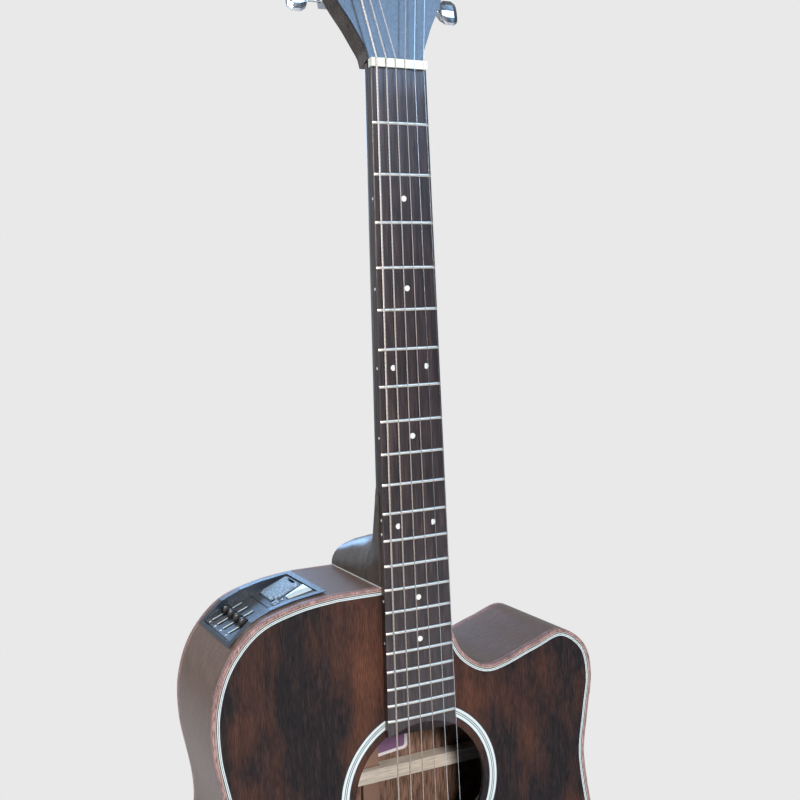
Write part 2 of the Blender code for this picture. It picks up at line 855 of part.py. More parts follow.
def shoulder_height(along):
    """How far the body's side stands out of the chord."""
    best = 0.0
    for a, b in zip(outline, outline[1:]):
        pa, pb = Vector(a) - low, Vector(b) - low
        s, e = pa.dot(chord), pb.dot(chord)
        if min(s, e) <= along <= max(s, e) and abs(e - s) > 1e-6 and pa.dot(outward) > -3:
            share = (along - s) / (e - s)
            best = max(best, pa.dot(outward) + share * (pb - pa).dot(outward))
    return best


def shoulder_slab(start, end, lift, floor, front, back):
    """Block between two places along the chord, from a flat floor up to the curved side plus a lift."""
    corners = {(Vector(point) - low).dot(chord) for point in outline if (Vector(point) - low).dot(outward) > -3}
    steps = [start, *sorted(s for s in corners if start + 0.5 < s < end - 0.5), end]
    loop = [on_panel(s, shoulder_height(s) + lift) for s in steps]
    loop += [on_panel(end, floor), on_panel(start, floor)]
    return loft([[(x, y, z) for x, z in loop] for y in (front, back)])


TUB_MARGIN = 5.0
tub_front, tub_back = PREAMP_FRONT_Y + TUB_MARGIN, PREAMP_BACK_Y - TUB_MARGIN
housing = make(
    "preamp_housing",
    shoulder_slab(TUB_MARGIN, PANEL_LONG - TUB_MARGIN, BEZEL_PROUD, -TUB_DEPTH, tub_front, tub_back),
    BLACK_PLASTIC,
)
flange = shoulder_slab(0.0, PANEL_LONG, BEZEL_PROUD, -1.0, PREAMP_FRONT_Y, PREAMP_BACK_Y)
flange_obj = make("preamp_flange", flange, None, helper=True)
under_side = shoulder_slab(-6.0, PANEL_LONG + 6.0, GAP, -8.0, PREAMP_FRONT_Y - 5, PREAMP_BACK_Y + 5)
boolean(flange_obj, make("shoulder_below", under_side, None, helper=True))
boolean(housing, flange_obj, "UNION")
recess = shoulder_slab(
    BEZEL_BORDER, PANEL_LONG - BEZEL_BORDER, 6.0, PANEL_LIFT, PREAMP_FRONT_Y + BEZEL_BORDER + 1, PREAMP_BACK_Y - BEZEL_BORDER - 1
)
boolean(housing, make("panel_recess", recess, None, helper=True))
cutout = shoulder_slab(
    TUB_MARGIN - GAP, PANEL_LONG - TUB_MARGIN + GAP, 3.0, -8.0, tub_front - GAP, tub_back + GAP
)
boolean(rim, make("preamp_cutout", cutout, None, helper=True))


def panel_box(along, out, y_range):
    """Box with its length along the chord and its height measured from the panel's face."""
    low_out, high_out = PANEL_LIFT + out[0], PANEL_LIFT + out[1]
    corners = [on_panel(along[0], low_out), on_panel(along[1], low_out)]
    corners += [on_panel(along[1], high_out), on_panel(along[0], high_out)]
    return loft([[(x, y, z) for x, z in corners] for y in y_range])


SLIDER_YS = (40.0, 53.2, 66.4, 79.6)
SLIDER_AT = 23.0
SLOT_HALF = SLIDER_TRAVEL + 1.5
SLOT = (SLIDER_AT - SLOT_HALF, SLIDER_AT + SLOT_HALF)
for number, y in enumerate(SLIDER_YS, 1):
    slot = panel_box(SLOT, (-6.5, 2.5), (y - 1.4, y + 1.4))
    boolean(housing, make(f"slider_slot_{number}", slot, None, helper=True))
    stem = panel_box((SLIDER_AT - 1.0, SLIDER_AT + 1.0), (-4.5, 2.7), (y - 0.9, y + 0.9))
    cap = panel_box((SLIDER_AT - 2.6, SLIDER_AT + 2.6), (0.9, 5.1), (y - 2.2, y + 2.2))
    slider = make(f"eq_slider_{number}", cap, BLACK_PLASTIC)
    boolean(slider, make(f"slider_stem_{number}", stem, None, helper=True), "UNION")

# Battery, its bay and the hinged door
BAY = (49.5, 74.5)
BAY_Y = (52.0, 79.5)
BAY_WALL = 2.0
BAY_DEPTH = 52.0
BATTERY_SIZE = (17.5, 26.5, 48.5)
battery_along = (BAY[0] + BAY[1] - BATTERY_SIZE[0]) / 2
battery_y = (BAY_Y[0] + BAY_Y[1] - BATTERY_SIZE[1]) / 2
well = panel_box(
    (BAY[0] - BAY_WALL, BAY[1] + BAY_WALL),
    (-BAY_DEPTH - BAY_WALL, -TUB_DEPTH),
    (BAY_Y[0] - BAY_WALL, BAY_Y[1] + BAY_WALL),
)
boolean(housing, make("battery_well", well, None, helper=True), "UNION")
bay = panel_box(BAY, (-BAY_DEPTH, 3.5), BAY_Y)
boolean(housing, make("battery_bay", bay, None, helper=True))
make(
    "battery",
    panel_box(
        (battery_along, battery_along + BATTERY_SIZE[0]),
        (GAP - BAY_DEPTH, GAP - BAY_DEPTH + BATTERY_SIZE[2]),
        (battery_y, battery_y + BATTERY_SIZE[1]),
    ),
    BLACK_PLASTIC,
)
make(
    "battery_door",
    panel_box((BAY[0] + 0.5, BAY[1] - 0.5), (-1.1, 1.9), (BAY_Y[0] + 0.5, BAY_Y[1] - 0.5)),
    GREY_PLASTIC,
)
BUTTON_AT = 50.5
BUTTON_Y = 45.5
boolean(
    housing,
    make(
        "button_hole",
        panel_box((BUTTON_AT - 3.0, BUTTON_AT + 3.0), (-3.0 - BUTTON_TRAVEL, 3.5), (BUTTON_Y - 2.0, BUTTON_Y + 2.0)),
        None,
        helper=True,
    ),
)
make(
    "phase_button",
    panel_box((BUTTON_AT - 2.5, BUTTON_AT + 2.5), (-2.3, 1.7), (BUTTON_Y - 1.5, BUTTON_Y + 1.5)),
    GREY_PLASTIC,
)

# Output jack that is also the strap button, at the tail
JACK_Y = 62.0
JACK_BORE = 3.3
jack_profile = [(6.0, -26.0), (6.0, GAP + 0.2), (11.0, GAP + 0.3), (11.0, 3.0), (7.0, 5.0), (7.0, 10.0), (9.5, 13.0), (9.5, 15.0)]
downwards = Matrix.Rotation(math.pi, 4, "X")
jack = make("output_jack", moved(turned(jack_profile, 16), downwards), NICKEL)
jack.location = (0, JACK_Y * MM, TAIL_Z * MM)
jack_bore = make("jack_bore", moved(turned([(JACK_BORE, -22.0), (JACK_BORE, 20.0)]), downwards), None, helper=True)
jack_bore.location = jack.location
boolean(jack, jack_bore)
jack_way = make("jack_way", moved(turned([(6.3, -40.0), (6.3, 4.0)]), downwards), None, helper=True)
jack_way.location = jack.location
boolean(rim, jack_way)
boolean(tail_block, jack_way)
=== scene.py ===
"""Looks of the acoustic-electric guitar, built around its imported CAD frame."""

import math

import bmesh
import bpy
from mathutils import Matrix, Vector


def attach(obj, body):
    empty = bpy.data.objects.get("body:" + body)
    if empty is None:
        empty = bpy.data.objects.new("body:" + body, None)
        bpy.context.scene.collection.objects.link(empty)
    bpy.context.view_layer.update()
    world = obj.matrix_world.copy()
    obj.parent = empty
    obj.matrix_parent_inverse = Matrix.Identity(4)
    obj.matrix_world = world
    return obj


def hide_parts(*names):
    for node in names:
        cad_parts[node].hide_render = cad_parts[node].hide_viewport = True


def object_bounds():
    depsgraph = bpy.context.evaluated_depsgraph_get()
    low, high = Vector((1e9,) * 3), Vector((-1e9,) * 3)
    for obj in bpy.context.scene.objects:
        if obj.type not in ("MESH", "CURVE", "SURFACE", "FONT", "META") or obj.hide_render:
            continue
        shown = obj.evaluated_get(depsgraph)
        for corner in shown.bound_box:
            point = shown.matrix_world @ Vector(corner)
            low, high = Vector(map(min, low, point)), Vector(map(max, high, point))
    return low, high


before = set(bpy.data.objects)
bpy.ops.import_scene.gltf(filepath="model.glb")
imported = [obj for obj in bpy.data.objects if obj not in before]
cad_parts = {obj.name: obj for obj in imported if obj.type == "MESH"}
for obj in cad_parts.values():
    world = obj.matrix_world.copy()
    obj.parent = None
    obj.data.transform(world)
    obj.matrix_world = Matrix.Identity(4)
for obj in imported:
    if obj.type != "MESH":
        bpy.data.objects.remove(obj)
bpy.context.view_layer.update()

# Soundboard: a 3 mm plate of dark stained open-pored wood, its grain along the strings, glued to
# the sides. The stain is nearly black with red-brown clouds, and warmer by the treble waist. The
# body's line has a square shoulder on the bass side and a rounded cutaway on the treble side.
MM = 0.001
GUITAR = "guitar"
TOP_Y, TOP_THICK = 6.5, 3.0
BODY_TOP_Z, TAIL_Z = -359.5, -868.0
LOWER, WAIST, UPPER = 206.0, 146.2, 154.6
NECK_JOINT_HALF = 27.5
HOLE_Z, HOLE_R = -515.6, 53.0
EDGE_LINES_WIDE = 5.4
PIN_SPREAD, PIN_Z, PIN_HOLE_R = 54.0, -665.0, 2.9


def smooth_line(points, step=5.0):
    """Smooth curve through points, drawn about every step millimetres."""
    found = []
    ends = [points[0], *points, points[-1]]
    for a, b, c, d in zip(ends, ends[1:], ends[2:], ends[3:]):
        b, c = Vector(b), Vector(c)
        start, end = (c - Vector(a)) / 2, (Vector(d) - b) / 2
        length = (c - b).length
        start *= min(1, length / max(start.length, 1e-6))
        end *= min(1, length / max(end.length, 1e-6))
        count = max(2, math.ceil(length / step))
        for i in range(count):
            t = i / count
            found.append(
                (2 * t**3 - 3 * t**2 + 1) * b
                + (t**3 - 2 * t**2 + t) * start
                + (3 * t**2 - 2 * t**3) * c
                + (t**3 - t**2) * end
            )
    found.append(Vector(points[-1]))
    return [tuple(point) for point in found]


bass_shoulder = [
    (-60.0, BODY_TOP_Z),
    (-90.0, -363.1),
    (-120.6, -373.5),
    (-143.0, -397.0),
    (-UPPER + 0.8, -427.0),
    (-UPPER, -460.0),
]
lower_bout = [
    (-WAIST, -522.0),
    (-WAIST - 13, -590.0),
    (-LOWER + 16, -655.0),
    (-LOWER, -738.0),
    (-LOWER + 15, -806.0),
    (-LOWER + 66, -851.0),
    (-70.0, TAIL_Z + 2.5),
    (0.0, TAIL_Z),
]
treble_cutaway = [
    (150.3, -484.0),
    (UPPER - 0.3, -455.0),
    (148.5, -430.0),
    (127.0, -414.4),
    (100.4, -421.2),
    (62.0, -431.3),
    (40.0, -419.0),
    (29.5, -398.0),
]
other_half = [(-x, z) for x, z in reversed(lower_bout[:-1])]
outline = smooth_line(bass_shoulder + lower_bout + other_half + treble_cutaway)
outline = [(-NECK_JOINT_HALF, BODY_TOP_Z), *outline, (NECK_JOINT_HALF, BODY_TOP_Z)]


def inset(loop, distance):
    """Loop moved inwards by a distance, square to its edges."""
    area = sum(a[0] * b[1] - b[0] * a[1] for a, b in zip(loop, loop[1:] + loop[:1]))
    side = 1 if area > 0 else -1
    found = []
    for i, point in enumerate(loop):
        before = (Vector(point) - Vector(loop[i - 1])).normalized()
        after = (Vector(loop[(i + 1) % len(loop)]) - Vector(point)).normalized()
        normal = Vector((-before.y - after.y, before.x + after.x)).normalized() * side
        stretch = 1 / max(0.3, normal.dot(Vector((-before.y, before.x)) * side))
        found.append(tuple(Vector(point) + normal * distance * stretch))
    return found


def circle(radius, centre_z, count=128, centre_x=0.0):
    """Round loop in the plane of the top."""
    turns = [math.tau * i / count for i in range(count)]
    return [(centre_x + radius * math.cos(turn), centre_z + radius * math.sin(turn)) for turn in turns]


def at(y):
    """Flat face at one depth."""
    return lambda x, z: y


def prism(loops, front, back, cuts=()):
    """Solid inside the first loop and outside the others, from y = front(x, z) to y = back(x, z).

    Each cut is a plane's point and normal, and lets the solid bend there.
    """
    bm = bmesh.new()
    edges = []
    for loop in loops:
        verts = [bm.verts.new((x, 0, z)) for x, z in loop]
        edges += [bm.edges.new((verts[i - 1], verts[i])) for i in range(len(verts))]
    bmesh.ops.triangle_fill(bm, use_beauty=True, edges=edges, normal=(0, -1, 0))
    for point, normal in cuts:
        flat = bm.verts[:] + bm.edges[:] + bm.faces[:]
        bmesh.ops.bisect_plane(bm, geom=flat, plane_co=point, plane_no=normal)
    far = bmesh.ops.extrude_face_region(bm, geom=bm.faces[:])
    moved = {item for item in far["geom"] if isinstance(item, bmesh.types.BMVert)}
    for vert in bm.verts:
        vert.co.y = (back if vert in moved else front)(vert.co.x, vert.co.z)
    return bm


def piece(name, bm, finish, body=GUITAR, replaces=(), smooth=35, bevel=0.0):
    """Finished piece from a mesh in millimetres, its corners sharper than 0.6 rad bevelled on request."""
    bmesh.ops.remove_doubles(bm, verts=bm.verts, dist=1e-4)
    bmesh.ops.recalc_face_normals(bm, faces=bm.faces)
    if bevel:
        sharp = [edge for edge in bm.edges if len(edge.link_faces) == 2 and edge.calc_face_angle() > 0.6]
        bmesh.ops.bevel(
            bm,
            geom=sharp,
            offset=bevel,
            segments=3,
            profile=0.5,
            affect="EDGES",
            material=-1,
            clamp_overlap=True,
        )
    bmesh.ops.scale(bm, vec=(MM, MM, MM), verts=bm.verts)
    data = bpy.data.meshes.new(name)
    bm.to_mesh(data)
    bm.free()
    data.shade_smooth()
    data.set_sharp_from_angle(angle=math.radians(smooth))
    obj = bpy.data.objects.new(name, data)
    bpy.context.scene.collection.objects.link(obj)
    data.materials.append(finish)
    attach(obj, body)
    if replaces:
        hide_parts(*replaces)
    return obj


def linear(text):
    """sRGB hex to linear colour."""
    parts = [int(text[i : i + 2], 16) / 255 for i in (1, 3, 5)]
    return (*[c / 12.92 if c <= 0.04045 else ((c + 0.055) / 1.055) ** 2.4 for c in parts], 1.0)


def new_material(name):
    """Empty material, its node tree and its Principled shader."""
    made = bpy.data.materials.new(name)
    made.use_nodes = True
    return made, made.node_tree, made.node_tree.nodes["Principled BSDF"]


def add(tree, kind, links=None, stops=(), **settings):
    """One node with its settings, a ramp's stops, and its inputs linked to an output or set to a value."""
    made = tree.nodes.new(kind)
    for key, value in settings.items():
        setattr(made, key, value)
    while stops and len(made.color_ramp.elements) < len(stops):
        made.color_ramp.elements.new(0.5)
    for element, (place, colour) in zip(made.color_ramp.elements if stops else (), stops):
        element.position = place
        element.color = linear(colour)
    for key, value in (links or {}).items():
        if isinstance(value, bpy.types.NodeSocket):
            tree.links.new(value, made.inputs[key])
        else:
            made.inputs[key].default_value = value
    return made


def stain_clouds(tree, place, pores, bare_colour, clouds):
    """Clouds of a second colour where the stain took less, drawn out along the grain.

    Each warm area has a centre and a reach in metres, and the weight it adds to the clouds.
    """
    drawn = add(tree, "ShaderNodeMapping", {"Vector": place, "Scale": (1.0, 1.0, 0.42)}).outputs["Vector"]
    noise = {"Vector": drawn, "Scale": 1 / (clouds["size_mm"] * MM), "Detail": 6.0, "Roughness": 0.62}
    share = add(tree, "ShaderNodeTexNoise", noise).outputs["Fac"]
    for centre, reach, weight in clouds["warm_areas"]:
        shifted = add(tree, "ShaderNodeVectorMath", {0: place, 1: centre}, operation="SUBTRACT").outputs[0]
        scaled = add(tree, "ShaderNodeVectorMath", {0: shifted, 1: reach}, operation="DIVIDE").outputs[0]
        far = add(tree, "ShaderNodeVectorMath", {0: scaled}, operation="LENGTH").outputs["Value"]
        limits = {"Value": far, "From Min": 1.0, "From Max": 0.0, "To Max": weight}
        near = add(tree, "ShaderNodeMapRange", limits).outputs["Result"]
        share = add(tree, "ShaderNodeMath", {0: share, 1: near}, operation="ADD").outputs[0]
    limits = {"Value": share, "From Min": clouds["start"], "From Max": clouds["full"], "To Max": 0.85}
    amount = add(tree, "ShaderNodeMapRange", limits).outputs["Result"]
    grained = add(tree, "ShaderNodeMath", {0: amount, 1: pores}, operation="MULTIPLY").outputs[0]
    clear = add(tree, "ShaderNodeMath", {0: grained, 1: 1.7}, operation="MULTIPLY", use_clamp=True).outputs[0]
    both = {0: clear, 6: bare_colour, 7: linear(clouds["colour"])}
    return add(tree, "ShaderNodeMix", both, data_type="RGBA", blend_type="MIX").outputs[2]


def wood(
    name,
    colours,
    pore_mm,
    figure_mm,
    roughness,
    bump,
    stretch=28.0,
    axis="Z",
    specular=0.4,
    pore="#8a8a8a",
    clouds=None,
):
    """Sawn and planed wood: long pores and broad figure along one axis.

    The figure shifts the colour slowly across the board, and the pores are fine dark lines a
    fraction of a millimetre wide, drawn a little coarse so that they show from a step away.
    """
    made, tree, shader = new_material(name)
    place = add(tree, "ShaderNodeTexCoord").outputs["Object"]
    scale = [1.0, 1.0, 1.0]
    scale["XYZ".index(axis)] = 1 / stretch
    grain = add(tree, "ShaderNodeMapping", {"Vector": place, "Scale": scale}).outputs["Vector"]
    broad = {"Vector": grain, "Scale": 1 / (figure_mm * MM), "Detail": 5.0, "Roughness": 0.6}
    figure = add(tree, "ShaderNodeTexNoise", broad).outputs["Fac"]
    fine = {"Vector": grain, "Scale": 1 / (pore_mm * MM), "Detail": 2.0, "Roughness": 0.5}
    pores = add(tree, "ShaderNodeTexNoise", fine).outputs["Fac"]
    colour = add(tree, "ShaderNodeValToRGB", {"Fac": figure}, colours).outputs["Color"]
    pore_stops = ((0.36, pore), (0.56, "#ffffff"))
    dark = add(tree, "ShaderNodeValToRGB", {"Fac": pores}, pore_stops).outputs["Color"]
    layers = {0: 1.0, 6: colour, 7: dark}
    both = add(tree, "ShaderNodeMix", layers, data_type="RGBA", blend_type="MULTIPLY").outputs[2]
    if clouds:
        both = stain_clouds(tree, place, pores, both, clouds)
    tree.links.new(both, shader.inputs["Base Color"])
    shine = {"Value": pores, "To Min": roughness + 0.12, "To Max": roughness - 0.06}
    rough = add(tree, "ShaderNodeMapRange", shine).outputs["Result"]
    tree.links.new(rough, shader.inputs["Roughness"])
    relief = {"Height": pores, "Strength": bump, "Distance": 0.15 * MM}
    tree.links.new(add(tree, "ShaderNodeBump", relief).outputs["Normal"], shader.inputs["Normal"])
    shader.inputs["Specular IOR Level"].default_value = specular
    return made


# Stained wood under an open-pored satin lacquer: dull, with its pores open to the light.
STAINED = wood(
    "stained_open_pore_top",
    ((0.28, "#110d10"), (0.46, "#181214"), (0.58, "#221919"), (0.72, "#30211e")),
    pore_mm=0.6,
    figure_mm=2.4,
    stretch=12.0,
    roughness=0.5,
    bump=0.5,
    specular=0.2,
    clouds={
        "size_mm": 26.0,
        "colour": "#74442b",
        "start": 0.5,
        "full": 1.2,
        "warm_areas": (
            ((0.13, 0.006, -0.605), (0.075, 1.0, 0.06), 0.75),
            ((-0.045, 0.006, -0.43), (0.028, 1.0, 0.11), 0.34),
            ((-0.125, 0.006, -0.50), (0.035, 1.0, 0.16), 0.16),
            ((0.042, 0.006, -0.46), (0.022, 1.0, 0.07), 0.34),
        ),
    },
)
pin_holes = [circle(PIN_HOLE_R, PIN_Z, 16, PIN_SPREAD * (i - 2.5) / 5) for i in range(6)]
top_loops = [inset(outline, EDGE_LINES_WIDE), circle(HOLE_R, HOLE_Z), *pin_holes]
piece(
    "top_wood",
    prism(top_loops, at(TOP_Y), at(TOP_Y + TOP_THICK)),
    STAINED,
    replaces=("soundboard",),
)

# Edge lines: strips of black and white sheet let into a groove just inside the binding, glued and
# levelled with the top. They show as one white band between fine dark and pale lines.
EDGE_LINE_DEEP, EDGE_LINE_PROUD, EDGE_LINE_GAP = 1.8, 0.02, 0.01


def surface(name, colour, roughness, metallic=0.0, grit_mm=0.4, bump=0.1, vary=0.06, coat=0.0, painted_crest_highlight=0.0):
    """Moulded, cast, rolled or plated surface: slight clouding over 14 mm, and fine grit, whose crests can be
    painted lighter as highlight and its hollows darker as shade.
    """
    made, tree, shader = new_material(name)
    place = add(tree, "ShaderNodeTexCoord").outputs["Object"]
    fine = {"Vector": place, "Scale": 1 / (grit_mm * MM), "Detail": 3.0}
    grit = add(tree, "ShaderNodeTexNoise", fine).outputs["Fac"]
    broad = {"Vector": place, "Scale": 1 / (14 * MM), "Detail": 4.0}
    cloud = add(tree, "ShaderNodeTexNoise", broad).outputs["Fac"]
    shade = add(tree, "ShaderNodeMapRange", {"Value": cloud, "To Min": 1 - vary, "To Max": 1 + vary})
    layers = {0: 1.0, 6: linear(colour), 7: shade.outputs["Result"]}
    tinted = add(tree, "ShaderNodeMix", layers, data_type="RGBA", blend_type="MULTIPLY").outputs[2]
    # Painted highlight and shade: the colour is lightened on the grit's crests and darkened in its hollows.
    limits = {"Value": grit, "From Min": 0.35, "From Max": 0.65, "To Min": 1 - painted_crest_highlight, "To Max": 1 + painted_crest_highlight}
    painted_crest_light = add(tree, "ShaderNodeMapRange", limits).outputs["Result"]
    layers = {0: 1.0, 6: tinted, 7: painted_crest_light}
    flecked = add(tree, "ShaderNodeMix", layers, data_type="RGBA", blend_type="MULTIPLY").outputs[2]
    tree.links.new(flecked, shader.inputs["Base Color"])
    shine = {"Value": cloud, "To Min": roughness * 0.8, "To Max": roughness * 1.2}
    rough = add(tree, "ShaderNodeMapRange", shine).outputs["Result"]
    tree.links.new(rough, shader.inputs["Roughness"])
    relief = {"Height": grit, "Strength": bump, "Distance": 0.25 * grit_mm * MM}
    tree.links.new(add(tree, "ShaderNodeBump", relief).outputs["Normal"], shader.inputs["Normal"])
    shader.inputs["Metallic"].default_value = metallic
    shader.inputs["Coat Weight"].default_value = coat
    return made


# Dyed and white fibre strips, scraped flush: an even colour with a low sheen.
PALE = surface("pale_strip", "#b7a79c", 0.4)
BLACK = surface("black_strip", "#141113", 0.4)
WHITE = surface("white_strip", "#bcc6c5", 0.35)
edge_lines = (
    (2.25, 2.65, PALE),
    (2.65, 3.35, BLACK),
    (3.35, 4.05, WHITE),
    (4.05, 4.4, BLACK),
    (4.4, 5.1, WHITE),
    (5.1, EDGE_LINES_WIDE, BLACK),
)
for number, (start, end, finish) in enumerate(edge_lines, 1):
    piece(
        f"top_edge_line_{number}",
        prism(
            [inset(outline, start), inset(outline, end - EDGE_LINE_GAP)],
            at(TOP_Y - EDGE_LINE_PROUD),
            at(TOP_Y + EDGE_LINE_DEEP),
        ),
        finish,
    )

# Bindings: strips of pinkish-brown wood, bent and glued round both edges of the body, and rounded
# with a scraper. The back is set further from the top towards the tail.
SIDE_THICK, BINDING_TALL, BINDING_ROUND = 2.2, 6.0, 0.55
BACK_AT_SHOULDER, BACK_SLOPE = 97.0, 0.045


def back_y(z):
    """Depth of the back's edge at a height."""
    return BACK_AT_SHOULDER + (BODY_TOP_Z - z) * BACK_SLOPE


# Scraped hardwood under satin lacquer: a soft shine, with short fine pores.
BINDING = wood(
    "pink_brown_binding",
    ((0.3, "#80615c"), (0.5, "#967570"), (0.7, "#a98880")),
    pore_mm=0.6,
    figure_mm=5.0,
    stretch=10.0,
    roughness=0.38,
    bump=0.2,
)
for name, near, far in (
    ("top_binding", at(TOP_Y), at(TOP_Y + BINDING_TALL)),
    ("back_binding", lambda x, z: back_y(z) - BINDING_TALL, lambda x, z: back_y(z)),
):
    piece(
        f"{name}_strip",
        prism([outline, inset(outline, SIDE_THICK)], near, far),
        BINDING,
        replaces=(name,),
        smooth=50,
        bevel=BINDING_ROUND,
    )

# Sides: bent grey-brown wood with a thin satin finish, glued to the linings between the bindings.
# The preamp's opening is cut in the bass shoulder and the jack's hole in the tail.
GLUE_LINE = 0.05
CHORD_LOW, CHORD_HIGH = Vector((-139.0, -390.0)), Vector((-64.0, -359.5))
PANEL_LONG = (CHORD_HIGH - CHORD_LOW).length
BEZEL_EDGE = 4.7
OPENING_LIFT, OPENING_Y = (-9.0, 16.0), (21.2, 85.3)
JACK_Y, JACK_HOLE_R = 62.0, 6.3


def loft(rings):
    """Closed skin through rings of points, with both end rings filled."""
    bm = bmesh.new()
    rows = [[bm.verts.new(point) for point in ring] for ring in rings]
    loops = [[bm.edges.new((row[i - 1], row[i])) for i in range(len(row))] for row in rows]
    for near, far in zip(loops, loops[1:]):
        bmesh.ops.bridge_loops(bm, edges=near + far)
    bm.faces.new(rows[0])
    bm.faces.new(rows[-1][::-1])
    return bm


chord = (CHORD_HIGH - CHORD_LOW).normalized()
outward = Vector((-chord.y, chord.x))


def on_panel(along, lift):
    """Place on the shoulder's flat panel: millimetres along its chord, and out of it."""
    return tuple(CHORD_LOW + chord * along + outward * lift)


def panel_box(along, lift, deep):
    """Block on the panel, with its two limits along the chord, out of the panel and in depth."""
    corners = [on_panel(a, out) for out, ends in zip(lift, (along, along[::-1])) for a in ends]
    return loft([[(x, y, z) for x, z in corners] for y in deep])


def cut(obj, bm, name):
    """Cut a closed shape out of a finished piece."""
    bmesh.ops.recalc_face_normals(bm, faces=bm.faces)
    bmesh.ops.scale(bm, vec=(MM, MM, MM), verts=bm.verts)
    data = bpy.data.meshes.new(name)
    bm.to_mesh(data)
    bm.free()
    tool = bpy.data.objects.new(name, data)
    bpy.context.scene.collection.objects.link(tool)
    step = obj.modifiers.new(name, "BOOLEAN")
    step.operation = "DIFFERENCE"
    step.object = tool
    bpy.context.view_layer.update()
    result = bpy.data.meshes.new_from_object(obj.evaluated_get(bpy.context.evaluated_depsgraph_get()))
    obj.modifiers.clear()
    obj.data = result
    bpy.data.objects.remove(tool)


def rod(radius, long, place, towards=(0, 0, 1), segments=32):
    """Round bar centred on a place."""
    bm = bmesh.new()
    turn = Vector((0, 0, 1)).rotation_difference(Vector(towards)).to_matrix().to_4x4()
    bmesh.ops.create_cone(
        bm,
        cap_ends=True,
        segments=segments,
        radius1=radius,
        radius2=radius,
        depth=long,
        matrix=Matrix.Translation(place) @ turn,
    )
    return bm


# Bent wood under satin lacquer: an even sheen, with slow streaks along the bend.
SIDES = wood(
    "satin_grey_brown_sides",
    ((0.3, "#594436"), (0.5, "#6b5344"), (0.68, "#7d614f")),
    pore_mm=0.6,
    figure_mm=9.0,
    stretch=0.16,
    roughness=0.34,
    bump=0.12,
    axis="Y",
    specular=0.6,
)
sides = piece(
    "bent_sides",
    prism(
        [outline, inset(outline, SIDE_THICK)],
        at(TOP_Y + BINDING_TALL + GLUE_LINE),
        lambda x, z: back_y(z) - BINDING_TALL - GLUE_LINE,
    ),
    SIDES,
    replaces=("rim",),
    smooth=50,
)
cut(sides, panel_box((BEZEL_EDGE, PANEL_LONG - BEZEL_EDGE), OPENING_LIFT, OPENING_Y), "preamp_opening")
cut(sides, rod(JACK_HOLE_R, 30, (0, JACK_Y, TAIL_Z), segments=48), "jack_opening")

# Back: one plate of the same wood as the sides, planed to 2.6 mm, pressed to a slight arch and
# glued inside the back binding.
BACK_THICK, BACK_ARCH = 2.6, 4.0
MIDDLE_Z, HALF_LONG = (BODY_TOP_Z + TAIL_Z) / 2, (BODY_TOP_Z - TAIL_Z) / 2


def back_at(depth):
    """Arched back surface, moved in by a depth."""

    def surface_y(x, z):
        across = max(0.0, 1 - (x / LOWER) ** 2)
        along = max(0.0, 1 - ((z - MIDDLE_Z) / HALF_LONG) ** 2)
        return back_y(z) + BACK_ARCH * across * along - depth

    return surface_y


# Flat-sawn wood under satin lacquer: broad wavy figure and a soft sheen.
BACK_WOOD = wood(
    "satin_brown_back",
    ((0.3, "#6d5348"), (0.5, "#836759"), (0.7, "#967a6b")),
    pore_mm=0.8,
    figure_mm=12.0,
    roughness=0.38,
    bump=0.15,
)
arch_cuts = [((x, 0, 0), (1, 0, 0)) for x in range(-180, 181, 20)]
arch_cuts += [((0, 0, z), (0, 0, 1)) for z in range(-840, -360, 20)]
piece(
    "arched_back",
    prism([inset(outline, SIDE_THICK)], back_at(BACK_THICK), back_at(0.0), arch_cuts),
    BACK_WOOD,
    replaces=("back_plate",),
)

# Rosette: three white rings and four black ones in a groove round the sound hole, cut from sheet,
# glued in together and levelled with the top.
RING_INNER, RING_OUTER, GROOVE_PLAY = 58.0, 65.0, 0.3
RING_DEEP, RING_PROUD = 1.4, 0.03
RING_BLACK, RING_WHITE = "#15131a", "#bac4c3"
# Polished sheet: even colour and a smooth low shine, its rings set by the distance from the hole's middle.
RINGS, ring_tree, ring_shader = new_material("ring_inlay")
ring_place = add(ring_tree, "ShaderNodeTexCoord").outputs["Object"]
ring_centre = {"Vector": ring_place, "Location": (0, 0, -HOLE_Z * MM), "Scale": (1, 0, 1)}
ring_flat = add(ring_tree, "ShaderNodeMapping", ring_centre).outputs["Vector"]
ring_far = add(ring_tree, "ShaderNodeVectorMath", {0: ring_flat}, operation="LENGTH").outputs["Value"]
ring_limits = {"Value": ring_far, "From Min": RING_INNER * MM, "From Max": RING_OUTER * MM}
ring_share = add(ring_tree, "ShaderNodeMapRange", ring_limits).outputs["Result"]
ring_edges = (0.0, 0.07, 0.36, 0.44, 0.55, 0.63, 0.92)
ring_stops = [(edge, RING_WHITE if i % 2 else RING_BLACK) for i, edge in enumerate(ring_edges)]
ring_ramp = add(ring_tree, "ShaderNodeValToRGB", {"Fac": ring_share}, ring_stops)
ring_ramp.color_ramp.interpolation = "CONSTANT"
ring_tree.links.new(ring_ramp.outputs["Color"], ring_shader.inputs["Base Color"])
ring_shader.inputs["Roughness"].default_value = 0.34
piece(
    "rosette_rings",
    prism(
        [circle(RING_OUTER + GROOVE_PLAY, HOLE_Z, 160), circle(RING_INNER - GROOVE_PLAY, HOLE_Z, 160)],
        at(TOP_Y - RING_PROUD),
        at(TOP_Y + RING_DEEP),
    ),
    RINGS,
    replaces=("rosette",),
)

# Inside: bare spruce blocks, linings and braces, glued and left unfinished. The back's centre seam
# is covered by a low strip of the back's own wood under its braces.
STRIP_HALF, STRIP_TOP = 8.0, 8.5


def dress(finish, *names):
    """Give CAD nodes a material."""
    for name in names:
        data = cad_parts[name].data
        data.materials.clear()
        data.materials.append(finish)


